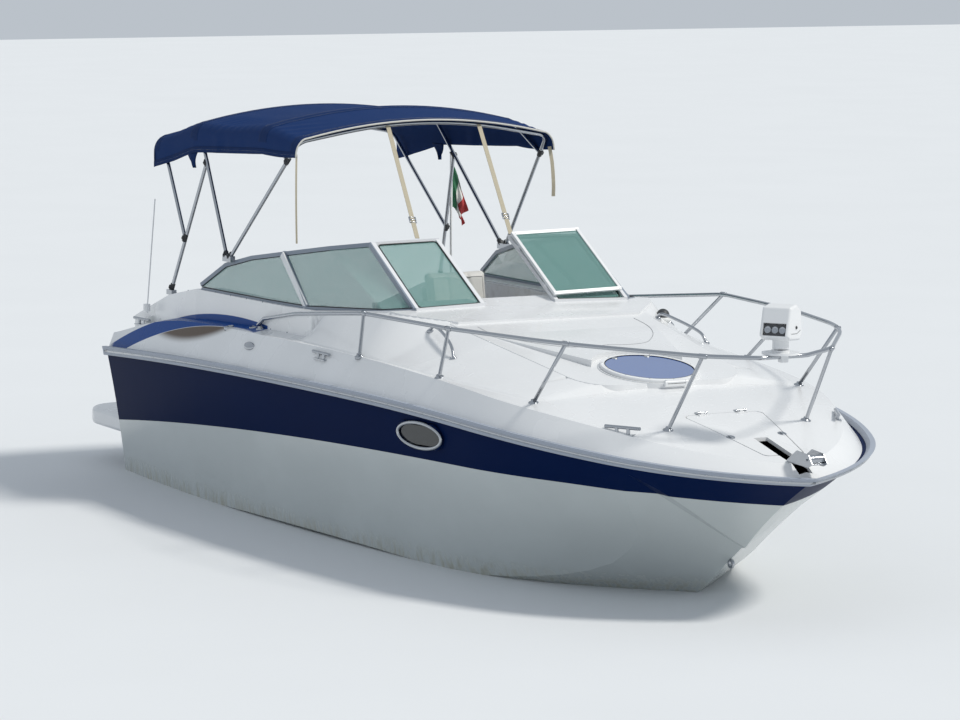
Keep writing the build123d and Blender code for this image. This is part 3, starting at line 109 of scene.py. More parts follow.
class Finish:
    """One material, built node by node."""

    def __init__(self, name):
        self.material = bpy.data.materials.new(name)
        self.material.use_nodes = True
        self.tree = self.material.node_tree
        self.tree.nodes.clear()
        finishes[name] = self.material

    def node(self, kind, settings=None, sockets=None, out=0):
        made = self.tree.nodes.new(kind)
        for key, value in (settings or {}).items():
            if key == "stops":
                for element, (place, colour) in zip(made.color_ramp.elements, value):
                    element.position = place
                    element.color = colour
            else:
                setattr(made, key, value)
        for key, value in (sockets or {}).items():
            if isinstance(value, Wire):
                self.tree.links.new(value.socket, made.inputs[key])
            else:
                made.inputs[key].default_value = value
        return Wire(self, made.outputs[out])

    def place(self):
        return self.node("ShaderNodeTexCoord", out="Object")

    def uv(self):
        return self.node("ShaderNodeTexCoord", out="UV")

    def split(self, vector):
        made = self.tree.nodes.new("ShaderNodeSeparateXYZ")
        self.tree.links.new(vector.socket, made.inputs[0])
        return [Wire(self, made.outputs[i]) for i in range(3)]

    def stretch(self, vector, scale, turn=(0, 0, 0)):
        return self.node("ShaderNodeMapping", None, {"Vector": vector, "Scale": scale, "Rotation": turn})

    def noise(self, vector, scale, detail=3.0, rough=0.5):
        sockets = {"Vector": vector, "Scale": scale, "Detail": detail, "Roughness": rough}
        return self.node("ShaderNodeTexNoise", None, sockets)

    def cells(self, vector, scale, feature="F1"):
        return self.node("ShaderNodeTexVoronoi", {"feature": feature}, {"Vector": vector, "Scale": scale})

    def blend(self, factor, first, second):
        return self.node("ShaderNodeMix", {"data_type": "RGBA"}, {0: factor, 6: first, 7: second}, out=2)

    def bump(self, height, distance, strength=1.0, under=None):
        sockets = {"Height": height, "Distance": distance, "Strength": strength}
        if under is not None:
            sockets["Normal"] = under
        return self.node("ShaderNodeBump", None, sockets)

    def surface(self, **sockets):
        """Ends the tree in one Principled shader; names are its sockets with _ for a blank."""
        named = {key.replace("_", " "): value for key, value in sockets.items()}
        shader = self.node("ShaderNodeBsdfPrincipled", None, named)
        end = self.tree.nodes.new("ShaderNodeOutputMaterial")
        self.tree.links.new(shader.socket, end.inputs["Surface"])
        return self.material


def rgb(colour, scale=1.0):
    return tuple(min(1.0, channel * scale) for channel in colour[:3]) + (1.0,)


# Painted swoosh on the quarter: the arcs of its two edges as middle (aft of midships), half span,
# crown height and drop, then the hollow's painted shade below it as middle, depth and how fast it tapers
SWOOSH_TOP = (1.6, 1.75, 1.268, 0.295)
SWOOSH_FOOT = (1.35, 2.0, 1.215, 0.36)
SCOOP_MIDDLE, SCOOP_DEPTH, SCOOP_TAPER = 2.1, 0.115, 0.27
SWOOSH_AFT, SWOOSH_FORE = -3.5, -1.2
SWOOSH_BLUE = (0.008, 0.06, 0.26, 1)
# Brown of the painted shade in the hollow below the swoosh
SCOOP_SHADE_BROWN = (0.13, 0.1, 0.08, 1)
WATER_STAIN = (0.33, 0.31, 0.2, 1)


def gelcoat(name, colour, roughness, waterline=False, swoosh=None, coat=0.3, shine=0.5):
    """Moulded gelcoat: faint waviness, fine hairline wear, and a stained edge at the water."""
    f = Finish(name)
    at = f.place()
    x, y, z = f.split(at)
    cloud = f.noise(at, 1.6, 4.0)
    wear = f.noise(f.stretch(at, (3.0, 3.0, 60.0)), 9.0, 5.0, 0.7)
    tone = f.blend(cloud.ramp(0.35, 0.75), rgb(colour, 0.965), rgb(colour, 1.02))
    rough = roughness + cloud * 0.06 + wear.ramp(0.62, 0.8) * 0.12
    if waterline:
        run = f.noise(f.stretch(at, (14.0, 14.0, 1.2)), 2.0, 4.0)
        stain = z.ramp(0.14, 0.0) * run.ramp(0.35, 0.7)
        tone = f.blend(stain * 0.55, tone, WATER_STAIN)
        rough = rough + stain * 0.3
    if swoosh is not None:
        top, low = swoosh
        u = (x + top[0]) / top[1]
        upper = top[2] - u * u * top[3]
        v = (x + low[0]) / low[1]
        lower = low[2] - v * v * low[3]
        band = (upper - z).ramp(-0.002, 0.002) * (z - lower).ramp(-0.002, 0.002)
        beside = y.size().ramp(0.98, 1.0)
        # Painted shade: the hollow below the swoosh is coloured brown, strongest just under its lower edge
        along = x + SCOOP_MIDDLE
        depth = SCOOP_DEPTH - along * along * SCOOP_TAPER
        scoop_shade = (lower - z).ramp(0.0, 0.004) * (z - lower + depth).ramp(0.0, 0.06) * depth.over(0.0) * beside
        tone = f.blend(scoop_shade, tone, SCOOP_SHADE_BROWN)
        painted = band * x.ramp(SWOOSH_AFT - 0.1, SWOOSH_AFT)
        painted = painted * x.ramp(SWOOSH_FORE + 0.02, SWOOSH_FORE) * beside
        tone = f.blend(painted, tone, SWOOSH_BLUE)
        dulled = 1 - painted.most(scoop_shade) * 0.9
        coat = dulled * coat
        shine = dulled * shine
    waves = f.noise(at, 2.4, 2.0) * 0.6 + f.noise(at, 260.0, 2.0) * 0.01
    normal = f.bump(waves, 0.004, 0.35)
    return f.surface(
        Base_Color=tone, Roughness=rough, Normal=normal,
        Coat_Weight=coat, Coat_Roughness=0.08, Specular_IOR_Level=shine,
    )


def nonskid(name, colour):
    """Pale moulded sole with a raised diamond pattern."""
    f = Finish(name)
    at = f.place()
    x, y, _ = f.split(at)
    pitch = 2 * pi / 0.024
    raised = (((x + y) * pitch).sine() * ((x - y) * pitch).sine()).ramp(0.0, 0.3)
    cloud = f.noise(at, 3.0, 4.0)
    grime = f.noise(at, 14.0, 6.0, 0.65).ramp(0.45, 0.75)
    tone = f.blend(cloud, rgb(colour, 0.95), rgb(colour))
    tone = f.blend(grime * (1 - raised) * 0.35, tone, (0.42, 0.4, 0.35, 1))
    normal = f.bump(raised, 0.0012, 0.8)
    return f.surface(Base_Color=tone, Roughness=0.5 + grime * 0.15, Normal=normal)


def steel(name, colour, roughness):
    """Polished tube and cast fittings, with faint polishing lines and water spots."""
    f = Finish(name)
    at = f.place()
    lines = f.noise(f.stretch(at, (90.0, 90.0, 14.0)), 8.0, 4.0)
    spots = f.cells(at, 140.0).ramp(0.16, 0.05)
    rough = roughness + lines * 0.08 + spots * 0.12
    tone = f.blend(lines, rgb(colour, 0.92), rgb(colour))
    normal = f.bump(lines, 0.0002, 0.3)
    return f.surface(Base_Color=tone, Metallic=1.0, Roughness=rough, Normal=normal)


def paint(name, colour, roughness, grain=320.0, depth=0.00015):
    """Coated metal or moulded plastic with a fine orange-peel grain and rubbed patches."""
    f = Finish(name)
    at = f.place()
    cloud = f.noise(at, 7.0, 4.0)
    peel = f.noise(at, grain, 2.0)
    rub = f.noise(at, 38.0, 6.0, 0.7).ramp(0.6, 0.82)
    tone = f.blend(cloud, rgb(colour, 0.9), rgb(colour, 1.06))
    tone = f.blend(rub * 0.2, tone, rgb(colour, 1.5))
    normal = f.bump(peel, depth, 0.6)
    return f.surface(Base_Color=tone, Roughness=roughness + cloud * 0.08 - rub * 0.06, Normal=normal)


def vinyl(name, colour):
    """Marine upholstery vinyl: pebbled grain, soft creases, slightly soiled."""
    f = Finish(name)
    at = f.place()
    grain = f.cells(at, 520.0, "SMOOTH_F1")
    crease = f.noise(f.stretch(at, (1.0, 2.2, 1.0)), 16.0, 5.0, 0.6)
    cloud = f.noise(at, 3.5, 4.0)
    tone = f.blend(cloud, rgb(colour, 0.93), rgb(colour, 1.02))
    tone = f.blend(crease.ramp(0.62, 0.8) * 0.25, tone, (0.5, 0.47, 0.41, 1))
    normal = f.bump(grain, 0.0005, 0.5, f.bump(crease, 0.003, 0.4))
    return f.surface(Base_Color=tone, Roughness=0.42 + grain * 0.1, Normal=normal)


def woven(name, colour, pitch, sheen=0.25, fade=0.0):
    """Plain weave on the piece's own UV, in metres, with thread-by-thread shade and fading."""
    f = Finish(name)
    at = f.place()
    u, v, _ = f.split(f.uv())
    per_metre = 2 * pi / pitch
    over = (u * per_metre).sine() * (v * per_metre).sine()
    thread = f.noise(f.stretch(f.uv(), (900.0, 900.0, 1.0)), 1.0, 2.0)
    cloud = f.noise(at, 2.2, 5.0)
    tone = f.blend(over * 0.5 + 0.5, rgb(colour, 0.72), rgb(colour, 1.12))
    tone = f.blend(thread * 0.25, tone, rgb(colour, 1.4))
    pale = tuple(0.8 * channel + 0.012 for channel in colour[:3]) + (1.0,)
    tone = f.blend(cloud.ramp(0.4, 0.8) * fade, tone, pale)
    height = over * 0.5 + thread * 0.4
    normal = f.bump(height, pitch * 0.25, 0.6)
    return f.surface(
        Base_Color=tone, Roughness=0.82 + thread * 0.1, Normal=normal,
        Sheen_Weight=sheen, Sheen_Roughness=0.5, Specular_IOR_Level=0.2,
    )


# Colours of the flag's bands from the staff outward, and how long its cloth is
FLAG_BANDS = ((0.01, 0.16, 0.06, 1), (0.75, 0.74, 0.7, 1), (0.5, 0.03, 0.03, 1))
FLAG_FLY = 0.45


def flag_cloth(name):
    """Three upright bands of thin cloth, on the flag's own UV."""
    f = Finish(name)
    u, _, _ = f.split(f.uv())
    thread = f.noise(f.stretch(f.uv(), (800.0, 800.0, 1.0)), 1.0, 2.0)
    hoist_band, middle_band, fly_band = FLAG_BANDS
    tone = f.blend(u.over(FLAG_FLY / 3), hoist_band, middle_band)
    tone = f.blend(u.over(FLAG_FLY * 2 / 3), tone, fly_band)
    tone = f.blend(thread * 0.2, tone, (0.3, 0.3, 0.3, 1))
    return f.surface(Base_Color=tone, Roughness=0.85, Normal=f.bump(thread, 0.0005, 0.5))


def pane_glass(name, colour, alpha, roughness=0.03, coat=1.0):
    """Clear pane with a green edge tint and faint dried spray."""
    f = Finish(name)
    at = f.place()
    haze = f.noise(at, 5.0, 5.0, 0.6)
    spray = f.cells(at, 95.0).ramp(0.1, 0.03) * f.noise(at, 11.0, 3.0).ramp(0.5, 0.7)
    tone = f.blend(haze, rgb(colour, 0.94), rgb(colour, 1.05))
    shade = alpha + haze * 0.08 + spray * 0.12
    return f.surface(
        Base_Color=tone, Roughness=roughness + spray * 0.3, Alpha=shade, IOR=1.5,
        Coat_Weight=coat, Coat_Roughness=0.02,
    )


def frame_finish(name, dark, pale):
    """Windshield sections: white on the front panes, dark navy along the wings."""
    f = Finish(name)
    at = f.place()
    _, y, _ = f.split(at)
    front = (0.752 - y.size()).ramp(-0.004, 0.004)
    grain = f.noise(f.stretch(at, (4.0, 40.0, 40.0)), 6.0, 3.0)
    tone = f.blend(front, rgb(dark), rgb(pale))
    tone = f.blend(grain.ramp(0.6, 0.75) * 0.3, tone, (0.45, 0.45, 0.46, 1))
    normal = f.bump(grain, 0.0004, 0.4)
    return f.surface(Base_Color=tone, Roughness=0.3 + grain * 0.1, Normal=normal, Coat_Weight=0.2)


def make_finishes(paints):
    # Lower hull: white gelcoat whose colour is greyed green as a painted shade
    gelcoat("hull_white", paints.hull, 0.2, waterline=True)
    gelcoat("hull_navy", paints.band, 0.3, coat=0.0, shine=0.01)
    gelcoat("deck_white", paints.deck, 0.24, swoosh=(SWOOSH_TOP, SWOOSH_FOOT))
    gelcoat("rail_white", paints.deck, 0.3)
    # Rub rail: grey-blue colour with the shade under the deck's edge painted into it
    gelcoat("rail_grey", (0.34, 0.38, 0.45), 0.35, coat=0.0, shine=0.3)
    nonskid("sole_white", paints.deck)
    # Stainless: steel colour darkened with a painted reflection of dark water
    steel("stainless", (0.46, 0.48, 0.51), 0.14)
    steel("prop_metal", (0.6, 0.6, 0.6), 0.24)
    paint("trim_dark", (0.035, 0.038, 0.042), 0.45)
    paint("frame_white", (0.8, 0.81, 0.82), 0.3)
    paint("drive_grey", (0.09, 0.1, 0.11), 0.35)
    paint("engine_grey", (0.16, 0.16, 0.16), 0.4)
    paint("wheel_black", (0.018, 0.018, 0.02), 0.5, 700.0, 0.0003)
    paint("rubber_black", (0.012, 0.012, 0.013), 0.55)
    paint("white_plastic", (0.78, 0.79, 0.78), 0.35)
    frame_finish("frame_navy", (0.2, 0.24, 0.3), (0.74, 0.75, 0.77))
    vinyl("vinyl_white", paints.vinyl)
    woven("canvas_navy", paints.canvas, 0.0032, 0.0, 0.12)
    woven("webbing", (0.5, 0.45, 0.34), 0.0026, 0.1, 0.2)
    woven("canvas_dark", rgb(paints.canvas, 0.8), 0.0032, 0.0, 0.1)
    woven("berth_cloth", (0.4, 0.36, 0.29), 0.003, 0.2, 0.1)
    vinyl("piping_vinyl", rgb(paints.vinyl, 0.9))
    steel("steel_dull", (0.55, 0.56, 0.57), 0.3)
    pane_glass("lamp_dark", (0.02, 0.022, 0.026), 0.97, 0.08)
    woven("piping_pale", (0.62, 0.61, 0.57), 0.002, 0.1, 0.1)
    # Grey of the painted shadow lines along the pad's moulded seams
    paint("seam_grey", (0.3, 0.31, 0.33), 0.6)
    flag_cloth("flag_cloth")
    pane_glass("glass_tint", (0.17, 0.36, 0.33), 0.5)
    pane_glass("glass_dark", (0.010, 0.014, 0.016), 0.93, 0.1, 0.1)
    # Hatch lens: blue tint with a painted reflection of the sky in its colour
    pane_glass("lens_blue", (0.025, 0.1, 0.36), 0.96, 0.12)


def islands(node):
    """Each separate solid of a node as a merged mesh."""
    source = bmesh.new()
    source.from_mesh(frame["nodes"][node].data)
    bmesh.ops.remove_doubles(source, verts=source.verts, dist=0.0002)
    left = set(source.faces)
    made = []
    while left:
        stack = [left.pop()]
        group = list(stack)
        while stack:
            for edge in stack.pop().edges:
                for face in edge.link_faces:
                    if face in left:
                        left.discard(face)
                        group.append(face)
                        stack.append(face)
        mesh = bmesh.new()
        copies = {}
        for face in group:
            spots = []
            for vert in face.verts:
                if vert not in copies:
                    copies[vert] = mesh.verts.new(vert.co)
                spots.append(copies[vert])
            if len(set(spots)) == len(spots):
                mesh.faces.new(spots)
        made.append(mesh)
    source.free()
    return made


def extent(mesh):
    """Lowest and highest corner of a mesh."""
    low = Vector(min(v.co[i] for v in mesh.verts) for i in range(3))
    high = Vector(max(v.co[i] for v in mesh.verts) for i in range(3))
    return low, high


def solid_boxes(node):
    """Lowest and highest corner of each separate solid in a node, from bow to stern."""
    boxes = []
    for mesh in islands(node):
        boxes.append(extent(mesh))
        mesh.free()
    return sorted(boxes, key=lambda pair: -pair[1].x)


def surface_of(*nodes):
    """Search tree over the faces of some nodes, to lay fittings on."""
    points, faces = [], []
    for name in nodes:
        data = (frame["nodes"].get(name) or bpy.data.objects[name]).data
        start = len(points)
        points += [v.co.copy() for v in data.vertices]
        faces += [[start + i for i in p.vertices] for p in data.polygons]
    return BVHTree.FromPolygons(points, faces)


def piece(name, mesh, material, body="root", smooth=True):
    """A finished mesh as an object on its body."""
    if isinstance(mesh, bmesh.types.BMesh):
        data = bpy.data.meshes.new(name)
        mesh.to_mesh(data)
        mesh.free()
    else:
        data = mesh
        data.name = name
    if smooth:
        for polygon in data.polygons:
            polygon.use_smooth = True
    made = bpy.data.objects.new(name, data)
    bpy.context.scene.collection.objects.link(made)
    if material is not None:
        data.materials.clear()
        data.materials.append(finishes[material])
    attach(made, body)
    return made


def tube_into(mesh, points, radius, sides=12, closed=False):
    """Round bar along points, added to a mesh, with closed ends."""
    spots = [Vector(p) for p in points]
    count = len(spots)
    rings = []
    across = None
    for i, spot in enumerate(spots):
        before = spots[i - 1] if i or closed else spots[0]
        after = spots[(i + 1) % count] if i + 1 < count or closed else spots[-1]
        along = (after - before).normalized()
        if across is None:
            across = along.orthogonal().normalized()
        across = (across - along * across.dot(along)).normalized()
        up = along.cross(across)
        ring = []
        for k in range(sides):
            turn = 2 * pi * k / sides
            ring.append(mesh.verts.new(spot + (across * cos(turn) + up * sin(turn)) * radius))
        rings.append(ring)
    pairs = list(zip(rings, rings[1:]))
    if closed:
        pairs.append((rings[-1], rings[0]))
    for low, high in pairs:
        for k in range(sides):
            mesh.faces.new((low[k], low[(k + 1) % sides], high[(k + 1) % sides], high[k]))
    if not closed:
        mesh.faces.new(list(reversed(rings[0])))
        mesh.faces.new(rings[-1])


def lathe_into(mesh, profile, place, sides=24):
    """Turned form: profile of (radius, height) rows, set by a matrix."""
    rings = []
    for radius, height in profile:
        ring = []
        for k in range(sides):
            turn = 2 * pi * k / sides
            ring.append(mesh.verts.new(place @ Vector((radius * cos(turn), radius * sin(turn), height))))
        rings.append(ring)
    for low, high in zip(rings, rings[1:]):
        for k in range(sides):
            mesh.faces.new((low[k], low[(k + 1) % sides], high[(k + 1) % sides], high[k]))
    mesh.faces.new(list(reversed(rings[0])))
    mesh.faces.new(rings[-1])


def box_into(mesh, low, high, place=Matrix.Identity(4), bevel=0.0):
    """Box between two corners, with its edges rounded, set by a matrix."""
    low, high = Vector(low), Vector(high)
    stretch = Matrix.Translation((low + high) / 2) @ Matrix.Diagonal((*(high - low), 1))
    made = bmesh.ops.create_cube(mesh, size=1.0, matrix=place @ stretch)
    if bevel:
        edges = {edge for vert in made["verts"] for edge in vert.link_edges}
        bmesh.ops.bevel(mesh, geom=list(edges), offset=bevel, segments=3, profile=0.5, affect="EDGES")


def facing(point, normal, forward=Vector((1, 0, 0))):
    """Matrix at a point whose Z is a surface's normal and whose X runs as far forward as it can."""
    up = Vector(normal).normalized()
    ahead = (forward - up * forward.dot(up)).normalized()
    side = up.cross(ahead)
    turn = Matrix((ahead, side, up)).transposed().to_4x4()
    return Matrix.Translation(Vector(point)) @ turn


def drop_on(tree, x, y, from_z=3.0):
    """Point and normal of the surface straight below (x, y)."""
    point, normal, _, _ = tree.ray_cast(Vector((x, y, from_z)), Vector((0, 0, -1)))
    if point is None:
        raise ValueError(f"nothing lies below {x}, {y}")
    return point, normal if normal.z > 0 else -normal


def node_input(tree, name):
    """Identifier of a node group's named input."""
    for item in tree.interface.items_tree:
        if item.item_type == "SOCKET" and item.in_out == "INPUT" and item.name == name:
            return item.identifier
    raise KeyError(name)


def row_tree(name, kind, material):
    """Node group that sets small like pieces along a path: studs or stitches."""
    tree = bpy.data.node_groups.new(name, "GeometryNodeTree")
    face = tree.interface
    face.new_socket("Path", in_out="INPUT", socket_type="NodeSocketGeometry")
    for label, default in (("Spacing", 0.1), ("Width", 0.01), ("Height", 0.004), ("Length", 0.01)):
        face.new_socket(label, in_out="INPUT", socket_type="NodeSocketFloat").default_value = default
    face.new_socket("Pieces", in_out="OUTPUT", socket_type="NodeSocketGeometry")
    nodes, links = tree.nodes, tree.links

    def add(kind_name, settings=None, sockets=None):
        made = nodes.new(kind_name)
        for key, value in (settings or {}).items():
            setattr(made, key, value)
        for key, value in (sockets or {}).items():
            if isinstance(value, bpy.types.NodeSocket):
                links.new(value, made.inputs[key])
            else:
                made.inputs[key].default_value = value
        return made

    start = add("NodeGroupInput")
    run = {"Curve": start.outputs["Path"], "Length": start.outputs["Spacing"]}
    points = add("GeometryNodeCurveToPoints", {"mode": "LENGTH"}, run)
    turn = add(
        "FunctionNodeAlignRotationToVector",
        {"axis": "Z" if kind == "stud" else "X"},
        {"Vector": points.outputs["Normal" if kind == "stud" else "Tangent"]},
    )
    segments, rings = (10, 6) if kind == "stud" else (6, 5)
    shape = add("GeometryNodeMeshUVSphere", None, {"Segments": segments, "Rings": rings, "Radius": 0.5})
    size = {"X": start.outputs["Length"], "Y": start.outputs["Width"], "Z": start.outputs["Height"]}
    scale = add("ShaderNodeCombineXYZ", None, size)
    placed = {
        "Points": points.outputs["Points"],
        "Instance": shape.outputs["Mesh"],
        "Rotation": turn.outputs["Rotation"],
        "Scale": scale.outputs["Vector"],
    }
    copies = add("GeometryNodeInstanceOnPoints", None, placed)
    real = add("GeometryNodeRealizeInstances", None, {"Geometry": copies.outputs["Instances"]})
    skin = {"Geometry": real.outputs["Geometry"], "Material": finishes[material]}
    look = add("GeometryNodeSetMaterial", None, skin)
    end = nodes.new("NodeGroupOutput")
    links.new(look.outputs["Geometry"], end.inputs["Pieces"])
    return tree


def row_along(name, paths, tree, sizes, body="root"):
    """Runs a row tree on some paths and keeps the result as a plain mesh."""
    data = bpy.data.curves.new(name + "_path", "CURVE")
    data.dimensions = "3D"
    data.twist_mode = "Z_UP"
    for path, closed in paths:
        line = data.splines.new("POLY")
        line.points.add(len(path) - 1)
        for point, spot in zip(line.points, path):
            point.co = (*spot, 1.0)
        line.use_cyclic_u = closed
    source = bpy.data.objects.new(name + "_path", data)
    bpy.context.scene.collection.objects.link(source)
    modifier = source.modifiers.new("row", "NODES")
    for label, value in sizes.items():
        modifier[node_input(tree, label)] = value
    modifier.node_group = tree
    for label, value in sizes.items():
        modifier[node_input(tree, label)] = value
    bpy.context.view_layer.update()
    graph = bpy.context.evaluated_depsgraph_get()
    mesh = bpy.data.meshes.new_from_object(source.evaluated_get(graph), depsgraph=graph)
    bpy.data.objects.remove(source)
    return piece(name, mesh, None, body)


def spread(points, step):
    """Evenly spaced points on a broken line."""
    spots = [Vector(p) for p in points]
    made = [spots[0]]
    for a, b in zip(spots, spots[1:]):
        count = max(1, round((b - a).length / step))
        made += [a.lerp(b, (i + 1) / count) for i in range(count)]
    return made


def curved(points, steps=8):
    """Smooth line through a few points."""
    spots = [Vector(p) for p in points]
    made = []
    for i in range(len(spots) - 1):
        p0 = spots[max(0, i - 1)]
        p1, p2 = spots[i], spots[i + 1]
        p3 = spots[min(len(spots) - 1, i + 2)]
        for k in range(steps):
            t = k / steps
            bend = 2 * p0 - 5 * p1 + 4 * p2 - p3
            turn = 3 * p1 - p0 - 3 * p2 + p3
            made.append(0.5 * (2 * p1 + (p2 - p0) * t + bend * t * t + turn * t * t * t))
    return made + [spots[-1]]


def colour_of(name, about, default):
    return FloatVectorProperty(name=name, description=about, subtype="COLOR", default=default)


def length_of(name, about, default):
    return FloatProperty(name=name, description=about, default=default, unit="LENGTH")


def number_of(name, about, default):
    return FloatProperty(name=name, description=about, default=default)


class BoatPaint(PropertyGroup):
    """Colours of the boat's main finishes."""

    # Lower topsides: white, greyed green as a painted shade
    hull: colour_of("Hull", "Lower topsides", (0.52, 0.56, 0.56))
    band: colour_of("Band", "Dark topside band", (0.003, 0.011, 0.052))
    deck: colour_of("Deck", "Deck moulding", (0.8, 0.81, 0.82))
    canvas: colour_of("Canvas", "Canopy cloth", (0.004, 0.029, 0.125))
    vinyl: colour_of("Vinyl", "Seat covers", (0.76, 0.75, 0.72))


class BoatCanvas(PropertyGroup):
    """Sizes of the canopy's cloth."""

    sag: length_of("Sag", "Dip of the cloth between bows", 0.03)
    fold: length_of("Fold", "Depth of the pull folds", 0.014)
    pocket: length_of("Pocket", "Width of the sleeves on the bows", 0.11)
    piping: length_of("Piping", "Diameter of the edge cord", 0.012)
    thread_pitch: length_of("Thread pitch", "Stitch spacing", 0.014)


class BoatFittings(PropertyGroup):
    """Sizes of rows of small fittings."""

    screw_pitch: length_of("Screw pitch", "Along the rub rail", 0.2)
    snap_pitch: length_of("Snap pitch", "Along the coaming", 0.24)


class BoatStage(PropertyGroup):
    """Floor and camera."""

    floor_size: length_of("Floor", "Side of the floor", 160.0)
    lens: number_of("Lens", "Focal length in millimetres", 146.25)
    azimuth: number_of("Azimuth", "Camera's bearing", 62.0271)
    elevation: number_of("Elevation", "Camera's height angle", 6.8068)
    roll: number_of("Roll", "Camera's roll", 0.1415)
    distance: length_of("Distance", "Camera to aim point", 20.0)


# Where the camera aims
AIM = Vector((3.9695, -2.2683, 1.6445))

# Canopy ribs: x, half width, edge z, shoulder z, crown z
RIBS = [
    (-1.045, 0.943, 2.338, 2.462, 2.560),
    (-1.55, 0.944, 2.334, 2.522, 2.624),
    (-2.10, 0.944, 2.318, 2.498, 2.598),
    (-2.66, 0.944, 2.278, 2.484, 2.584),
    (-3.02, 0.942, 2.212, 2.414, 2.514),
    (-3.345, 0.940, 2.138, 2.352, 2.456),
]
# How far in from its edge the cloth turns down, how far below its shoulder, and where the bows are
RIB_BEND = 0.085
RIB_TURN = 0.107
BOW_XS = (-1.08, -1.55, -2.66, -3.312)
# Flaps below the hem: middle along the boat, top and drop
FLAP_X, FLAP_TOP, FLAP_DROP = -2.70, 2.285, 0.11


def rib_at(x):
    """Width, edge, shoulder and crown of the cloth at any place along the boat."""
    for i in range(len(RIBS) - 1):
        if x >= RIBS[i + 1][0] or i == len(RIBS) - 2:
            break
    rows = [RIBS[max(0, i - 1)], RIBS[i], RIBS[i + 1], RIBS[min(len(RIBS) - 1, i + 2)]]
    a, b = rows[1][0], rows[2][0]
    t = (x - a) / (b - a)
    made = []
    for k in range(1, 5):
        p0, p1, p2, p3 = (row[k] for row in rows)
        m1 = (p2 - p0) / (rows[2][0] - rows[0][0]) * (b - a)
        m2 = (p3 - p1) / (rows[3][0] - rows[1][0]) * (b - a)
        from_first = p1 * (1 + 2 * t) * (1 - t) ** 2 + m1 * t * (1 - t) ** 2
        made.append(from_first + p2 * t * t * (3 - 2 * t) + m2 * t * t * (t - 1))
    return made


def rib_profile(x, count=112):
    """Points of the cloth across the boat from the starboard hem to the port one."""
    width, edge, shoulder, crown = rib_at(x)
    half = [(width, edge), (width, shoulder - RIB_TURN)]
    for turn in (15, 35, 60, 78):
        a = radians(turn)
        half.append((width - RIB_BEND * (1 - cos(a)), shoulder - RIB_TURN * (1 - sin(a))))
    reach = width - RIB_BEND
    for k in range(10):
        y = reach * (1 - k / 10)
        half.append((y, crown - (crown - shoulder) * (y / reach) ** 2))
    line = [Vector((x, -y, z)) for y, z in half] + [Vector((x, 0, crown))]
    line += [Vector((x, y, z)) for y, z in reversed(half)]
    lengths = [0.0]
    for a, b in zip(line, line[1:]):
        lengths.append(lengths[-1] + (b - a).length)
    made, k = [], 0
    for i in range(count + 1):
        at = lengths[-1] * i / count
        while k < len(line) - 2 and lengths[k + 1] < at:
            k += 1
        made.append((line[k].lerp(line[k + 1], (at - lengths[k]) / (lengths[k + 1] - lengths[k])), at))
    return made


def cloth_point(x, across, spot, sizes):
    """One point of the cloth with its sag, pull folds and the swell over each bow."""
    width, edge, shoulder, _ = rib_at(x)
    fore = min((bow for bow in BOW_XS if bow >= x), default=BOW_XS[0])
    aft = max((bow for bow in BOW_XS if bow <= x), default=BOW_XS[-1])
    share = 0.0 if fore == aft else (x - aft) / (fore - aft)
    bay = abs(fore - aft)
    dip = 4 * share * (1 - share) * min(1.0, bay / 0.7)
    top = max(0.0, min(1.0, (spot.z - (shoulder - 0.09)) / 0.09))
    side = 1 - top
    near = min(abs(x - bow) for bow in BOW_XS)
    swell = exp(-((near / 0.02) ** 2)) * 0.004
    pull = noise.noise(Vector((x * 1.3, spot.y * 5.0, 3.1))) * sizes.fold * 0.7 * dip
    corner = exp(-(((abs(spot.y) - 0.8) / 0.16) ** 2))
    ray = sin(58 * share * 0.1 * bay * 10 + 30 * abs(spot.y)) * corner * dip * sizes.fold * 0.4
    drop = sizes.sag * dip * (1 - (spot.y / width) ** 4) * 0.45
    z = spot.z + top * (swell - drop + pull + ray)
    low = max(0.0, min(1.0, (shoulder - spot.z) / max(0.01, shoulder - edge)))
    wave = sin(2 * pi * x / 0.31 + 1.7 * sin(x * 5.1)) * 0.6 + noise.noise(Vector((x * 9.0, 0.0, 7.7)))
    y = spot.y - (1 if spot.y > 0 else -1) * side * low * dip * (0.010 + 0.007 * wave)
    z -= side * low * low * dip * 0.012
    return Vector((x, y, z))


def strip_into(mesh, layer, left, right, lengths, width):
    """Ribbon of faces between two lines, with its UV in metres."""
    rows = []
    for a, b in zip(left, right):
        rows.append((mesh.verts.new(a), mesh.verts.new(b)))
    for i in range(len(rows) - 1):
        face = mesh.faces.new((rows[i][0], rows[i][1], rows[i + 1][1], rows[i + 1][0]))
        for loop, uv in zip(face.loops, ((0, i), (width, i), (width, i + 1), (0, i + 1))):
            loop[layer].uv = (uv[0], lengths[uv[1]])


def run_lengths(points):
    made = [0.0]
    for a, b in zip(points, points[1:]):
        made.append(made[-1] + (b - a).length)
    return made


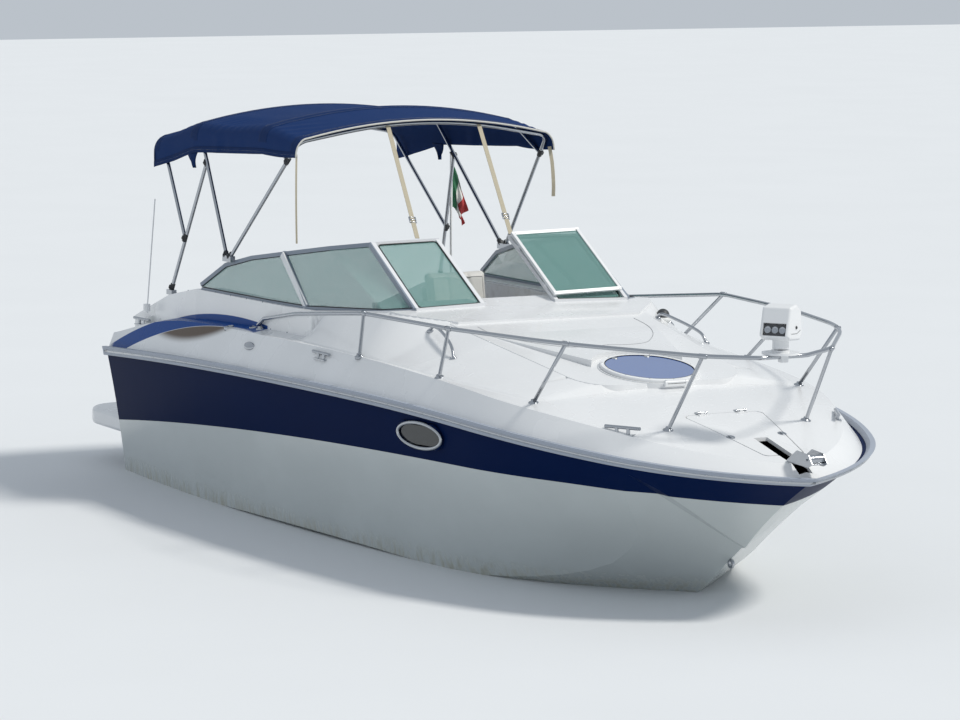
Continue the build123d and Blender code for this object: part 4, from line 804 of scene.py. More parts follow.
class BOAT_OT_canopy(Operator):
    """Cloth of the canopy with its sleeves, hems, piping and stitching"""

    bl_idname = "boat.canopy"
    bl_label = "Canopy"

    def execute(self, context):
        sizes = context.scene.boat_canvas
        fore, aft = RIBS[0][0], RIBS[-1][0]
        steps = 150
        grid, flat = [], []
        for i in range(steps + 1):
            x = fore + (aft - fore) * i / steps
            row = rib_profile(x)
            grid.append([cloth_point(x, at, spot, sizes) for spot, at in row])
            flat.append([at - row[-1][1] / 2 for spot, at in row])
        mesh = bmesh.new()
        layer = mesh.loops.layers.uv.new("cloth")
        verts = [[mesh.verts.new(p) for p in row] for row in grid]
        for i in range(steps):
            for k in range(len(verts[0]) - 1):
                face = mesh.faces.new((verts[i][k], verts[i + 1][k], verts[i + 1][k + 1], verts[i][k + 1]))
                for loop, (a, b) in zip(face.loops, ((i, k), (i + 1, k), (i + 1, k + 1), (i, k + 1))):
                    loop[layer].uv = (flat[a][b], (fore - aft) * a / steps)
        mesh.normal_update()
        if sum(face.normal.z for face in mesh.faces) < 0:
            bmesh.ops.reverse_faces(mesh, faces=mesh.faces)
        area = sum(face.calc_area() for face in mesh.faces)
        cloth = piece("canopy_cloth", mesh, "canvas_navy")
        solid = cloth.modifiers.new("thickness", "SOLIDIFY")
        solid.thickness = 0.0018
        solid.offset = -1.0
        ahead = Vector((0.004, 0, 0))
        edge = bmesh.new()
        tube_into(edge, [p + ahead for p in grid[0]], sizes.piping / 2, 8)
        piping = piece("canopy_piping", edge, "piping_pale")
        trims = [piping, self.bands(grid, sizes), self.seams(grid, sizes)]
        area / (fore - aft)
        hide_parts("canopy")
        return {"FINISHED"}

    def bands(self, grid, sizes):
        """Doubled cloth over the bows and along the hems."""
        mesh = bmesh.new()
        layer = mesh.loops.layers.uv.new("cloth")
        steps = len(grid) - 1
        span = RIBS[0][0] - RIBS[-1][0]
        for bow in BOW_XS:
            at = round((RIBS[0][0] - bow) / span * steps)
            half = max(2, round(sizes.pocket / 2 / span * steps))
            low, high = max(0, at - half), min(steps, at + half)
            for a in range(low, high):
                left = [p + Vector((0, 0, 0.0014)) for p in grid[a]]
                right = [p + Vector((0, 0, 0.0014)) for p in grid[a + 1]]
                strip_into(mesh, layer, left, right, run_lengths(left), span / steps)
        for column in (0, -1):
            inner = 2 if column == 0 else -3
            out = Vector((0, -0.0014 if column == 0 else 0.0014, 0))
            left = [row[column] + out for row in grid]
            right = [row[inner] + out for row in grid]
            strip_into(mesh, layer, left, right, run_lengths(left), 0.04)
        bmesh.ops.remove_doubles(mesh, verts=mesh.verts, dist=0.0004)
        bmesh.ops.recalc_face_normals(mesh, faces=mesh.faces)
        made = piece("canopy_sleeves", mesh, "canvas_dark")
        solid = made.modifiers.new("thickness", "SOLIDIFY")
        solid.thickness = 0.0012
        return made

    def seams(self, grid, sizes):
        """Rows of thread beside the sleeves, along the hems and round the front edge."""
        steps = len(grid) - 1
        span = RIBS[0][0] - RIBS[-1][0]
        lift = Vector((0, 0, 0.0032))
        paths = []
        for bow in BOW_XS:
            for side in (-1, 1):
                at = (RIBS[0][0] - bow + side * (sizes.pocket / 2 - 0.006)) / span * steps
                if 1 <= at <= steps - 1:
                    row = grid[round(at)]
                    paths.append(([p + lift for p in row[10:-10]], False))
        for at in (3, steps - 3):
            paths.append(([p + lift for p in grid[at][10:-10]], False))
        for column in (1, -2):
            out = Vector((0, -0.003 if column == 1 else 0.003, 0))
            paths.append(([row[column] + out for row in grid], False))
        tree = row_tree("canopy_thread", "stitch", "piping_pale")
        row_sizes = {"Spacing": sizes.thread_pitch, "Width": 0.0011, "Height": 0.0009, "Length": 0.005}
        return row_along("canopy_stitches", paths, tree, row_sizes)


# Bars of a strap's buckle, by their corners
BUCKLE_BARS = [
    ((-0.024, -0.024, -0.005), (0.024, -0.018, 0.005)),
    ((-0.024, 0.018, -0.005), (0.024, 0.024, 0.005)),
    ((-0.024, -0.018, -0.005), (-0.018, 0.018, 0.005)),
    ((0.018, -0.018, -0.005), (0.024, 0.018, 0.005)),
    ((-0.003, -0.018, -0.006), (0.003, 0.018, 0.004)),
]
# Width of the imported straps, then the loose ones that hang from the hem's fore corners
STRAP_WIDE = 0.029
LOOSE_WIDE, LOOSE_THIN = 0.024, 0.012
LOOSE_PORT = [(-1.07, 0.925, 2.36), (-1.05, 0.935, 2.25), (-1.04, 0.94, 2.12), (-1.05, 0.945, 2.03)]
LOOSE_STARBOARD = [(-1.07, -0.925, 2.36), (-1.045, -0.94, 2.2), (-1.035, -0.945, 2.0), (-1.04, -0.94, 1.79)]


class BOAT_OT_straps(Operator):
    """Webbing straps that hold the canopy forward, with their buckles"""

    bl_idname = "boat.straps"
    bl_label = "Straps"

    def execute(self, context):
        mesh = bmesh.new()
        layer = mesh.loops.layers.uv.new("cloth")
        buckles = bmesh.new()
        for low, high, wide in solid_straps():
            along = (high - low).normalized()
            self.ribbon(mesh, layer, [low, high], along.cross(Vector((0.2, 0, 1))).normalized(), wide, 0.0035)
            middle = low.lerp(high, 0.16)
            place = facing(middle, along.cross(Vector((0, 1, 0))), along)
            for corner, far_corner in BUCKLE_BARS:
                box_into(buckles, corner, far_corner, place, 0.0015)
        for line, wide in ((LOOSE_PORT, LOOSE_WIDE), (LOOSE_STARBOARD, LOOSE_THIN)):
            self.ribbon(mesh, layer, curved(line, 8), Vector((0.3, 1, 0)).normalized(), wide, 0.002)
        straps = piece("canopy_webbing", mesh, "webbing", smooth=False)
        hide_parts("canopy_straps")
        piece("canopy_buckles", buckles, "stainless")
        self.flaps()
        return {"FINISHED"}

    def flaps(self):
        """Loose ends of the cloth sleeve that hang where the main bow leaves the hem."""
        mesh = bmesh.new()
        layer = mesh.loops.layers.uv.new("cloth")
        for side in SIDES:
            rows = []
            for k in range(9):
                share = k / 8
                half = 0.085 * (1 - share) + 0.006
                x = FLAP_X + 0.035 * share
                z = FLAP_TOP - FLAP_DROP * share
                y = side * (0.935 + 0.012 * sin(pi * share))
                waves = [(a, side * 0.012 * cos(3 * pi * a) * share) for a in (-1, -0.5, 0, 0.5, 1)]
                rows.append([Vector((x + half * a, y + wave, z)) for a, wave in waves])
            columns = list(zip(*rows))
            for left, right in zip(columns, columns[1:]):
                strip_into(mesh, layer, left, right, run_lengths(left), 0.04)
        bmesh.ops.remove_doubles(mesh, verts=mesh.verts, dist=0.0004)
        bmesh.ops.recalc_face_normals(mesh, faces=mesh.faces)
        flaps = piece("canopy_flaps", mesh, "canvas_dark")
        thick = flaps.modifiers.new("thickness", "SOLIDIFY")
        thick.thickness = 0.002

    def ribbon(self, mesh, layer, points, side, wide, thick):
        """Flat strap of even thickness along points."""
        spots = [Vector(p) for p in points]
        lengths = run_lengths(spots)
        rows = []
        for i, spot in enumerate(spots):
            along = (spots[min(i + 1, len(spots) - 1)] - spots[max(i - 1, 0)]).normalized()
            across = (side - along * side.dot(along)).normalized()
            up = along.cross(across)
            rows.append(
                [
                    mesh.verts.new(spot + across * a * wide / 2 + up * b * thick / 2)
                    for a, b in ((-1, -1), (1, -1), (1, 1), (-1, 1))
                ]
            )
        for i in range(len(rows) - 1):
            for k in range(4):
                n = (k + 1) % 4
                face = mesh.faces.new((rows[i][k], rows[i][n], rows[i + 1][n], rows[i + 1][k]))
                edges = (0.0, wide) if k % 2 == 0 else (0.0, thick)
                spots_uv = ((edges[0], i), (edges[1], i), (edges[1], i + 1), (edges[0], i + 1))
                for loop, (u, v) in zip(face.loops, spots_uv):
                    loop[layer].uv = (u, lengths[v])
        mesh.faces.new(list(reversed(rows[0])))
        mesh.faces.new(rows[-1])


def solid_straps():
    """Foot, head and width of each packed strap."""
    made = []
    for low, high in solid_boxes("canopy_straps"):
        mesh = frame["nodes"]["canopy_straps"].data
        inside = [
            v.co.copy()
            for v in mesh.vertices
            if all(low[i] - 0.001 <= v.co[i] <= high[i] + 0.001 for i in range(3))
        ]
        feet = [p for p in inside if p.z < low.z + 0.03]
        heads = [p for p in inside if p.z > high.z - 0.03]
        foot = sum(feet, Vector()) / len(feet)
        head = sum(heads, Vector()) / len(heads)
        made.append((foot, head, STRAP_WIDE))
    return made


# Pressure that fills a cushion's cover, and for how many frames it acts
FILL_PRESSURE, FILL_FRAMES = 4.0, 20


def swollen(mesh, voxel, cap, shrink):
    """A cushion's solid, blown up a little like a filled cover and capped so it keeps its place."""
    data = bpy.data.meshes.new("pad")
    low, high = extent(mesh)
    middle, size = (low + high) / 2, high - low
    for vert in mesh.verts:
        for i in range(3):
            vert.co[i] = middle[i] + (vert.co[i] - middle[i]) * (1 - 2 * shrink / size[i])
    mesh.to_mesh(data)
    mesh.free()
    pad = bpy.data.objects.new("pad", data)
    bpy.context.scene.collection.objects.link(pad)
    remesh = pad.modifiers.new("even", "REMESH")
    remesh.mode = "VOXEL"
    remesh.voxel_size = voxel
    even = baked(pad)
    start = [v.co.copy() for v in even.vertices]
    cover = bpy.data.objects.new("cover", even)
    bpy.context.scene.collection.objects.link(cover)
    cloth = cover.modifiers.new("fill", "CLOTH")
    cloth.settings.use_pressure = True
    cloth.settings.uniform_pressure_force = FILL_PRESSURE
    cloth.settings.effector_weights.gravity = 0.0
    cloth.settings.quality = 4
    cloth.point_cache.frame_start = 1
    cloth.point_cache.frame_end = FILL_FRAMES
    for number in range(1, FILL_FRAMES + 1):
        bpy.context.scene.frame_set(number)
    blown = baked(cover)
    bpy.context.scene.frame_set(1)
    for vert, spot in zip(blown.vertices, start):
        move = vert.co - spot
        if move.length > cap:
            vert.co = spot + move.normalized() * cap
    even = blown
    return even


def baked(made):
    """A plain mesh of an object as its modifiers leave it; the object goes."""
    graph = bpy.context.evaluated_depsgraph_get()
    data = bpy.data.meshes.new_from_object(made.evaluated_get(graph), depsgraph=graph)
    bpy.data.objects.remove(made)
    return data


# Cushions: node, body, finish, slot, grid of sewn channels (axis, spacing), voxel
PADS = [
    ("bench_cushions", "root", "vinyl_white", "vinyl_white", (1, 0.24), 0.012),
    ("sunpad", "sunpad_lid", "vinyl_white", "vinyl_white", (1, 0.3), 0.012),
    ("lounge_cushions", "root", "vinyl_white", "vinyl_white", (0, 0.34), 0.012),
    ("seat_cushions", "helm_seat", "vinyl_white", "vinyl_white", (1, 0.15), 0.008),
    ("berth_cushion", "root", "berth_cloth", "berth_cloth", (1, 0.5), 0.02),
]
# How far a cover swells at most, and how much its solid shrinks first
PAD_SWELL, PAD_SHRINK = 0.016, 0.006
# Depth and half width of a sewn channel, then the piping's place inside the edge and its radius
CHANNEL_DEPTH, CHANNEL_HALF = 0.009, 0.012
PIPE_INSET, PIPE_R = 0.012, 0.0042


class BOAT_OT_cushions(Operator):
    """Seat cushions, sun pad and berth, with sewn channels and piping"""

    bl_idname = "boat.cushions"
    bl_label = "Cushions"

    def execute(self, context):
        for node, body, finish, slot, channels, voxel in PADS:
            whole = bmesh.new()
            piping = bmesh.new()
            for mesh in islands(node):
                low, high = extent(mesh)
                data = swollen(mesh, voxel, PAD_SWELL, PAD_SHRINK)
                self.channel(data, low, high, *channels)
                self.pipe(piping, data, low, high)
                whole.from_mesh(data)
            pad = piece(node + "_cover", whole, finish, body)
            smooth = pad.modifiers.new("smooth", "SMOOTH")
            smooth.factor = 0.5
            smooth.iterations = 2
            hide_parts(node)
            piece(node + "_piping", piping, "piping_vinyl", body)
        return {"FINISHED"}

    def channel(self, data, low, high, axis, spacing):
        """Draws the cover in along sewn lines on its broad faces."""
        size = high - low
        thin = min(range(3), key=lambda i: size[i])
        count = max(1, round(size[axis] / spacing))
        if axis == thin:
            return
        for vert in data.vertices:
            share = (vert.co[axis] - low[axis]) / size[axis] * count
            gap = abs(share - round(share)) * size[axis] / count
            if 0 < round(share) < count and abs(vert.normal[thin]) > 0.5:
                vert.co -= Vector(vert.normal) * CHANNEL_DEPTH * exp(-((gap / CHANNEL_HALF) ** 2))

    def pipe(self, mesh, data, low, high):
        """Cord along the edge of each broad face, laid on the cover."""
        size = high - low
        thin = min(range(3), key=lambda i: size[i])
        a, b = [i for i in range(3) if i != thin]
        tree = BVHTree.FromPolygons([v.co for v in data.vertices], [list(p.vertices) for p in data.polygons])
        round_r = min(0.05, size[a] / 5, size[b] / 5)
        outline = []
        for ca, cb, start in ((1, 1, 0), (-1, 1, 90), (-1, -1, 180), (1, -1, 270)):
            for turn in range(0, 91, 15):
                t = radians(start + turn)
                u = ca * (size[a] / 2 - round_r - PIPE_INSET) + round_r * cos(t)
                v = cb * (size[b] / 2 - round_r - PIPE_INSET) + round_r * sin(t)
                outline.append((u, v, 0))
        middle = (low + high) / 2
        for side in (-1, 1):
            ring = []
            for u, v, _ in spread(outline + outline[:1], 0.03)[:-1]:
                spot = middle.copy()
                spot[a] += u
                spot[b] += v
                spot[thin] += side * (size[thin] / 2 - PIPE_INSET)
                found = tree.find_nearest(spot)[0]
                ring.append(found if found is not None else spot)
            if (ring[0] - ring[-1]).length > 0.001:
                tube_into(mesh, ring, PIPE_R, 6, closed=True)


# Windshield panes: the front one's corners and the wing's ribs, foot and head, on the port side
FRONT_PANE = [(0.224, 0.262, 1.482), (0.262, 0.732, 1.474), (-0.353, 0.726, 1.832), (-0.390, 0.266, 1.835)]
WING_RIBS = [
    ((0.262, 0.748, 1.474), (-0.358, 0.742, 1.832)),
    ((0.110, 0.885, 1.456), (-0.740, 0.850, 1.782)),
    ((-0.725, 1.014, 1.406), (-1.250, 0.930, 1.708)),
    ((-1.250, 1.040, 1.400), (-1.640, 0.972, 1.652)),
    ((-1.850, 1.055, 1.396), (-1.960, 1.015, 1.580)),
    ((-2.230, 1.062, 1.394), (-2.255, 1.058, 1.428)),
]
WING_SPLIT = 2


def across_boat(points, side):
    return [Vector((x, y * side, z)) for x, y, z in points]


def inset_loop(corners, inset, lift):
    """Closed loop just inside a flat outline, lifted off its plane on the outer side."""
    spots = [Vector(p) for p in corners]
    middle = sum(spots, Vector()) / len(spots)
    normal = (spots[1] - spots[0]).cross(spots[2] - spots[0]).normalized()
    if normal.x < 0:
        normal = -normal
    made = []
    for i, spot in enumerate(spots):
        before = (spots[i - 1] - spot).normalized()
        after = (spots[(i + 1) % len(spots)] - spot).normalized()
        bisector = (before + after).normalized()
        sine = max(0.3, sin(before.angle(after) / 2))
        toward = 1 if bisector.dot(middle - spot) > 0 else -1
        made.append(spot + bisector * toward * inset / sine + normal * lift)
    return made


def rounded(corners, radius, steps=4):
    """Outline with its corners rounded, as a list of points."""
    made = []
    for i, spot in enumerate(corners):
        before = (corners[i - 1] - spot).normalized()
        after = (corners[(i + 1) % len(corners)] - spot).normalized()
        a, b = spot + before * radius, spot + after * radius
        for k in range(steps + 1):
            t = k / steps
            made.append(a * (1 - t) ** 2 + spot * 2 * t * (1 - t) + b * t * t)
    return made


def broad_faces(node):
    """Outer outline of each flat pane in a node."""
    made = []
    for mesh in islands(node):
        mesh.normal_update()
        largest = max(mesh.faces, key=lambda face: face.calc_area())
        normal = largest.normal if largest.normal.x > 0 else -largest.normal
        level = max(v.co.dot(normal) for v in mesh.verts)
        spots = [v.co.copy() for v in mesh.verts if v.co.dot(normal) > level - 0.001]
        middle = sum(spots, Vector()) / len(spots)
        first = (spots[0] - middle).normalized()
        second = normal.cross(first)
        spots.sort(key=lambda p: atan2((p - middle).dot(second), (p - middle).dot(first)))
        made.append(spots)
        mesh.free()
    return made


class BOAT_OT_glazing(Operator):
    """Black gaskets round the panes, the wing's bars and the middle pane's knob"""

    bl_idname = "boat.glazing"
    bl_label = "Glazing"

    def execute(self, context):
        gasket = bmesh.new()
        for side in SIDES:
            loop = inset_loop(across_boat(FRONT_PANE, side), 0.016, 0.006)
            tube_into(gasket, rounded(loop, 0.03), 0.0035, 8, closed=True)
            for first, last in ((0, WING_SPLIT), (WING_SPLIT, len(WING_RIBS) - 1)):
                ribs = WING_RIBS[first : last + 1]
                feet = spread([rib[0] for rib in ribs], 0.06)
                heads = spread([rib[1] for rib in reversed(ribs)], 0.06)
                outline = []
                for spot in feet:
                    outline.append(Vector(spot) + Vector((-0.004, 0.006, 0.016)))
                for spot in heads:
                    outline.append(Vector(spot) + Vector((0.002, 0.008, -0.016)))
                tube_into(gasket, across_boat(outline, side), 0.0032, 6, closed=True)
        piece("pane_gaskets", gasket, "rubber_black")
        bars = bmesh.new()
        foot, head = WING_RIBS[WING_SPLIT]
        for side in SIDES:
            low, high = across_boat([foot, head], side)
            place = facing(low.lerp(high, 0.5), Vector((0, side, 0.24)), high - low)
            half = (high - low).length / 2 - 0.012
            box_into(bars, (-half, -0.021, 0.008), (half, 0.021, 0.02), place, 0.004)
        piece("wing_bars", bars, "frame_white")
        swing = bmesh.new()
        knob = bmesh.new()
        for corners in broad_faces("swing_glass"):
            loop = self.four(corners)
            tube_into(swing, rounded(inset_loop(loop, 0.004, 0.001), 0.02), 0.0035, 8, closed=True)
            low = min(loop, key=lambda p: p.z)
            far = max(loop, key=lambda p: abs(p.y - low.y) - abs(p.z - low.z))
            at = low.lerp(far, 0.5)
            normal = (loop[1] - loop[0]).cross(loop[2] - loop[0]).normalized()
            if normal.x < 0:
                normal = -normal
            place = facing(at - normal * 0.02, normal)
            profile = [(0.001, 0.0), (0.012, 0.0), (0.012, 0.006), (0.008, 0.018), (0.001, 0.019)]
            lathe_into(knob, profile, place, 16)
        piece("middle_pane_gasket", swing, "rubber_black", "center_pane")
        piece("middle_pane_knob", knob, "stainless", "center_pane")
        return {"FINISHED"}

    def four(self, spots):
        """The four corners of a pane out of all points on its rim."""
        middle = sum(spots, Vector()) / len(spots)
        chosen = []
        for spot in sorted(spots, key=lambda p: -(p - middle).length):
            if all((spot - other).length > 0.1 for other in chosen):
                chosen.append(spot)
            if len(chosen) == 4:
                break
        first = (chosen[0] - middle).normalized()
        normal = (chosen[1] - middle).cross(chosen[0] - middle).normalized()
        second = normal.cross(first)
        chosen.sort(key=lambda p: atan2((p - middle).dot(second), (p - middle).dot(first)))
        return chosen


# Highest place of the sheer, its height, and its radius aft and forward of that place
SHEER_X, SHEER_Z = 0.5, 1.0
SHEER_AFT_R, SHEER_FORE_R = 56.0, 25.0
# Where the rub rail's ray casts start at the stern and where they start to turn round the bow
RAIL_AFT, RAIL_TURN_X = -3.55, 3.0


def sheer_z(x):
    """Height of the sheer, where the rub rail runs."""
    radius = SHEER_AFT_R if x < SHEER_X else SHEER_FORE_R
    return SHEER_Z - (x - SHEER_X) ** 2 / (2 * radius)


def rail_face(tree, side, count_side=90, count_bow=26):
    """Points and normals along the outside of the rub rail on one side, from the stern to the stem."""
    made = []
    for i in range(count_side + 1):
        x = RAIL_AFT + (RAIL_TURN_X - RAIL_AFT) * i / count_side
        hit = tree.ray_cast(Vector((x, side * 3.0, sheer_z(x))), Vector((0, -side, 0)))
        if hit[0] is not None:
            made.append((hit[0], hit[1]))
    for i in range(1, count_bow + 1):
        turn = radians(90 - 90 * i / count_bow)
        x = made[-1][0].x + 0.02
        start = Vector((RAIL_TURN_X + 2 * cos(turn), side * 2 * sin(turn), sheer_z(min(3.6, x))))
        hit = tree.ray_cast(start, (Vector((RAIL_TURN_X, 0, start.z)) - start).normalized())
        if hit[0] is not None:
            made.append((hit[0], hit[1]))
    return made


# Section of the rub rail's strip, out and up, and how far out its screws stand
STRIP_SECTION = [(-0.001, -0.011), (0.004, -0.008), (0.0055, 0.0), (0.004, 0.008), (-0.001, 0.011)]
STRIP_CROWN = 0.005


class BOAT_OT_rub_strip(Operator):
    """Bright insert of the rub rail with its screws"""

    bl_idname = "boat.rub_strip"
    bl_label = "Rub rail strip"

    def execute(self, context):
        sizes = context.scene.boat_fittings
        tree = surface_of("rub_rail")
        strip = bmesh.new()
        paths = []
        for side in SIDES:
            rows = []
            crown = []
            for point, normal in rail_face(tree, side):
                out = Vector((normal.x, normal.y, 0)).normalized()
                edges = [point + out * depth + Vector((0, 0, rise)) for depth, rise in STRIP_SECTION]
                rows.append([strip.verts.new(edge) for edge in edges])
                crown.append(point + out * STRIP_CROWN)
            for a, b in zip(rows, rows[1:]):
                for k in range(4):
                    strip.faces.new((a[k], a[k + 1], b[k + 1], b[k]))
            for row in (rows[0], list(reversed(rows[-1]))):
                strip.faces.new(row)
            paths.append((crown, False))
        bmesh.ops.recalc_face_normals(strip, faces=strip.faces)
        piece("rub_rail_strip", strip, "stainless")
        tree_screws = row_tree("rail_screws", "stud", "steel_dull")
        row_sizes = {"Spacing": sizes.screw_pitch, "Width": 0.008, "Height": 0.008, "Length": 0.008}
        row_along("rub_rail_screws", paths, tree_screws, row_sizes)
        return {"FINISHED"}


# Stanchions of the bow rail: foot below the deck and head, on the port side
STANCHIONS = [
    ((0.26, 1.135, 1.19), (0.59, 1.265, 1.512)),
    ((1.17, 1.058, 1.16), (1.52, 1.175, 1.508)),
    ((2.03, 0.90, 1.10), (2.446, 0.911, 1.502)),
    ((2.806, 0.46, 1.01), (3.13, 0.425, 1.476)),
]
# Place of the third post from aft in that list, then the rail's direction at each head, and the
# rail's own aft end where it comes down on the deck
THIRD_POST = 2
RAIL_RUNS = [(1.0, 0.02, 0.03), (1.0, -0.12, 0.0), (1.0, -0.3, -0.02), (1.0, -0.9, -0.05)]
RAIL_FOOT = ((-1.29, 1.098, 1.18), (-1.19, 1.105, 1.30))
# Clamps on the canopy's bows and braces on the port side: place and direction of the tube
BOW_CLAMPS = [
    ((-1.202, 0.927, 2.31), (-0.79, 0.122, -0.795)),
    ((-2.46, 0.935, 2.222), (0.725, 0.13, -0.819)),
    ((-2.689, 0.996, 1.70), (-0.39, 0.095, -0.892)),
    ((-1.875, 1.029, 1.646), (-0.79, 0.122, -0.795)),
    ((-1.942, 1.027, 1.648), (0.725, 0.13, -0.819)),
    ((-2.84, 1.028, 1.353), (-0.39, 0.095, -0.892)),
]


def sleeve_into(mesh, middle, along, radius, length, sides=18):
    """Short fitting clamped round a tube, with softened ends."""
    place = facing(Vector(middle), Vector(along).normalized(), Vector((0.3, 0.2, 1)))
    half, soft = length / 2, 0.003
    profile = [(radius - soft, -half), (radius, -half + soft), (radius, half - soft), (radius - soft, half)]
    lathe_into(mesh, profile, place, sides)


def base_into(mesh, point, normal, radius, height=0.006):
    """Round flange screwed on the deck, with its screws."""
    place = facing(point, normal)
    profile = [(radius, -0.012), (radius, height * 0.5), (radius * 0.9, height)]
    profile += [(radius * 0.55, height * 1.6), (radius * 0.5, height * 3.2), (radius * 0.44, height * 3.4)]
    lathe_into(mesh, profile, place, 28)
    for k in range(3):
        turn = 2 * pi * k / 3 + 0.4
        reach = radius * 0.72
        spot = place @ Matrix.Translation((reach * cos(turn), reach * sin(turn), height * 1.1))
        lathe_into(mesh, [(0.0042, 0.0), (0.0038, 0.0022), (0.001, 0.0028)], spot, 10)


class BOAT_OT_rail_fittings(Operator):
    """Flanges, sleeves and third posts of the bow rail, and clamps of the canopy's bows"""

    bl_idname = "boat.rail_fittings"
    bl_label = "Rail fittings"

    def execute(self, context):
        deck = surface_of("deck", "foredeck_skin")
        mesh = bmesh.new()
        for side in SIDES:
            for foot, head in STANCHIONS + [RAIL_FOOT]:
                foot, head = across_boat([foot, head], side)
                point, normal, _, _ = deck.ray_cast(head, (foot - head).normalized())
                if point is not None:
                    base_into(mesh, point, normal if normal.z > 0 else -normal, 0.03)
            for (foot, head), along in zip(STANCHIONS, RAIL_RUNS):
                sleeve_into(mesh, across_boat([head], side)[0], across_boat([along], side)[0], 0.0155, 0.05)
        piece("rail_bases", mesh, "stainless")
        posts = bmesh.new()
        for side in SIDES:
            foot, head = across_boat(STANCHIONS[THIRD_POST], side)
            tube_into(posts, [foot, head], 0.011, 18)
        piece("rail_posts", posts, "stainless")
        clamps = bmesh.new()
        for side in SIDES:
            for spot, along in BOW_CLAMPS:
                middle = across_boat([spot], side)[0]
                line = across_boat([along], side)[0]
                sleeve_into(clamps, middle, line, 0.0168, 0.055)
                place = facing(middle, Vector((0, side, 0)), line)
                box_into(clamps, (-0.014, -0.012, 0.008), (0.014, 0.012, 0.022), place, 0.003)
                lathe_into(clamps, [(0.006, 0.022), (0.006, 0.026), (0.001, 0.0265)], place, 12)
        piece("bow_clamps", clamps, "trim_dark")
        return {"FINISHED"}


# Middle of the hatch's lid, its slope in degrees, and the radii of its seal and of its screws
HATCH_MIDDLE, HATCH_SLOPE = (1.826, 0, 1.231), 8.8
SEAL_R, SCREWS_R = 0.2665, 0.281


class BOAT_OT_hatch(Operator):
    """Seal, screws and latches of the foredeck hatch"""

    bl_idname = "boat.hatch"
    bl_label = "Hatch"

    def execute(self, context):
        place = Matrix.Translation(HATCH_MIDDLE) @ Matrix.Rotation(radians(HATCH_SLOPE), 4, "Y")
        seal = bmesh.new()
        ring = [place @ Vector((SEAL_R * cos(t), SEAL_R * sin(t), 0.0215)) for t in turns(96)]
        tube_into(seal, ring, 0.0035, 8, closed=True)
        piece("hatch_seal", seal, "rubber_black", "hatch_lid")
        screws = bmesh.new()
        for turn in turns(12):
            spot = place @ Matrix.Translation((SCREWS_R * cos(turn), SCREWS_R * sin(turn), 0.0245))
            lathe_into(screws, [(0.0045, 0.0), (0.004, 0.002), (0.001, 0.0026)], spot, 10)
        for y in (-0.11, 0.11):
            spot = place @ Matrix.Translation((-0.225, y, 0.019))
            lathe_into(screws, [(0.019, 0.0), (0.019, 0.003), (0.015, 0.006), (0.001, 0.007)], spot, 20)
        piece("hatch_screws", screws, "steel_dull", "hatch_lid")
        return {"FINISHED"}


def turns(count):
    return [2 * pi * k / count for k in range(count)]


# Spotlight: middle of its foot, its bearing in degrees, and the lower and upper edge of its front
LIGHT_FOOT, LIGHT_BEARING = (3.262, 0, 1.512), -55
LIGHT_LOW, LIGHT_HIGH = (0.108, 0, 0.074), (0.084, 0, 0.156)


class BOAT_OT_spotlight(Operator):
    """Dark front of the spotlight with its reflectors, and the bracket's bolts"""

    bl_idname = "boat.spotlight"
    bl_label = "Spotlight"

    def execute(self, context):
        place = Matrix.Translation(LIGHT_FOOT) @ Matrix.Rotation(radians(LIGHT_BEARING), 4, "Z")
        low, high = Vector(LIGHT_LOW), Vector(LIGHT_HIGH)
        rise = (high - low).normalized()
        out = Vector((rise.z, 0, -rise.x))
        middle = (low + high) / 2 - out * 0.020
        turn = Matrix((Vector((0, 1, 0)), rise, out)).transposed().to_4x4()
        face = place @ Matrix.Translation(middle) @ turn
        glass = bmesh.new()
        box_into(glass, (-0.069, -0.035, -0.001), (0.069, 0.035, 0.004), face, 0.002)
        piece("spotlight_front", glass, "lamp_dark", "spotlight")
        lamps = bmesh.new()
        for k in (-1, 0, 1):
            spot = face @ Matrix.Translation((k * 0.044, 0, 0.004))
            profile = [(0.02, 0.0), (0.02, 0.004), (0.018, 0.0045)]
            profile += [(0.0145, 0.002), (0.006, 0.001), (0.001, 0.004)]
            lathe_into(lamps, profile, spot, 22)
        piece("spotlight_lamps", lamps, "stainless", "spotlight")
        seam = bmesh.new()
        for side in (-1, 1):
            bends = ((0.06, 0.09), (-0.02, 0.085), (-0.07, 0.1))
            tube_into(seam, [place @ Vector((x, side * 0.0885, z)) for x, z in bends], 0.0012, 6)
            bolt = place @ facing(Vector((-0.01, side * 0.0885, 0.12)), Vector((0, side, 0)))
            lathe_into(seam, [(0.009, -0.004), (0.009, 0.004), (0.006, 0.006), (0.001, 0.006)], bolt, 16)
        piece("spotlight_bolts", seam, "trim_dark", "spotlight")
        return {"FINISHED"}


def lay(tree, points, lift, step=0.03):
    """Line through (x, y) points, dropped on a surface and lifted off it."""
    made = []
    for spot in spread([(x, y, 0) for x, y in points], step):
        point, normal = drop_on(tree, spot.x, spot.y)
        made.append(point + normal * lift)
    return made


def dome_into(mesh, place, radius, height, foot=0.006):
    """Round cap with a flat foot."""
    profile = [(radius * 1.12, -0.02), (radius * 1.12, foot * 0.7), (radius * 1.05, foot)]
    profile += [(radius * cos(radians(t)), foot + height * sin(radians(t))) for t in range(0, 90, 12)]
    lathe_into(mesh, profile + [(0.001, foot + height)], place, 32)


def close_rings(mesh, rings):
    """Faces from each ring to the next, and from the last back to the first."""
    for a, b in zip(rings, rings[1:] + rings[:1]):
        count = len(a)
        for k in range(count):
            n = (k + 1) % count
            mesh.faces.new((a[k], a[n], b[n], b[k]))


# Seams of the panel moulded in the pad, x and y, along which grey lines of painted shadow run
PANEL_SEAM = [
    (0.70, 0.549), (0.89, 0.539), (1.08, 0.463), (1.23, 0.36), (1.32, 0.266), (1.345, 0.13), (1.32, 0.002),
]
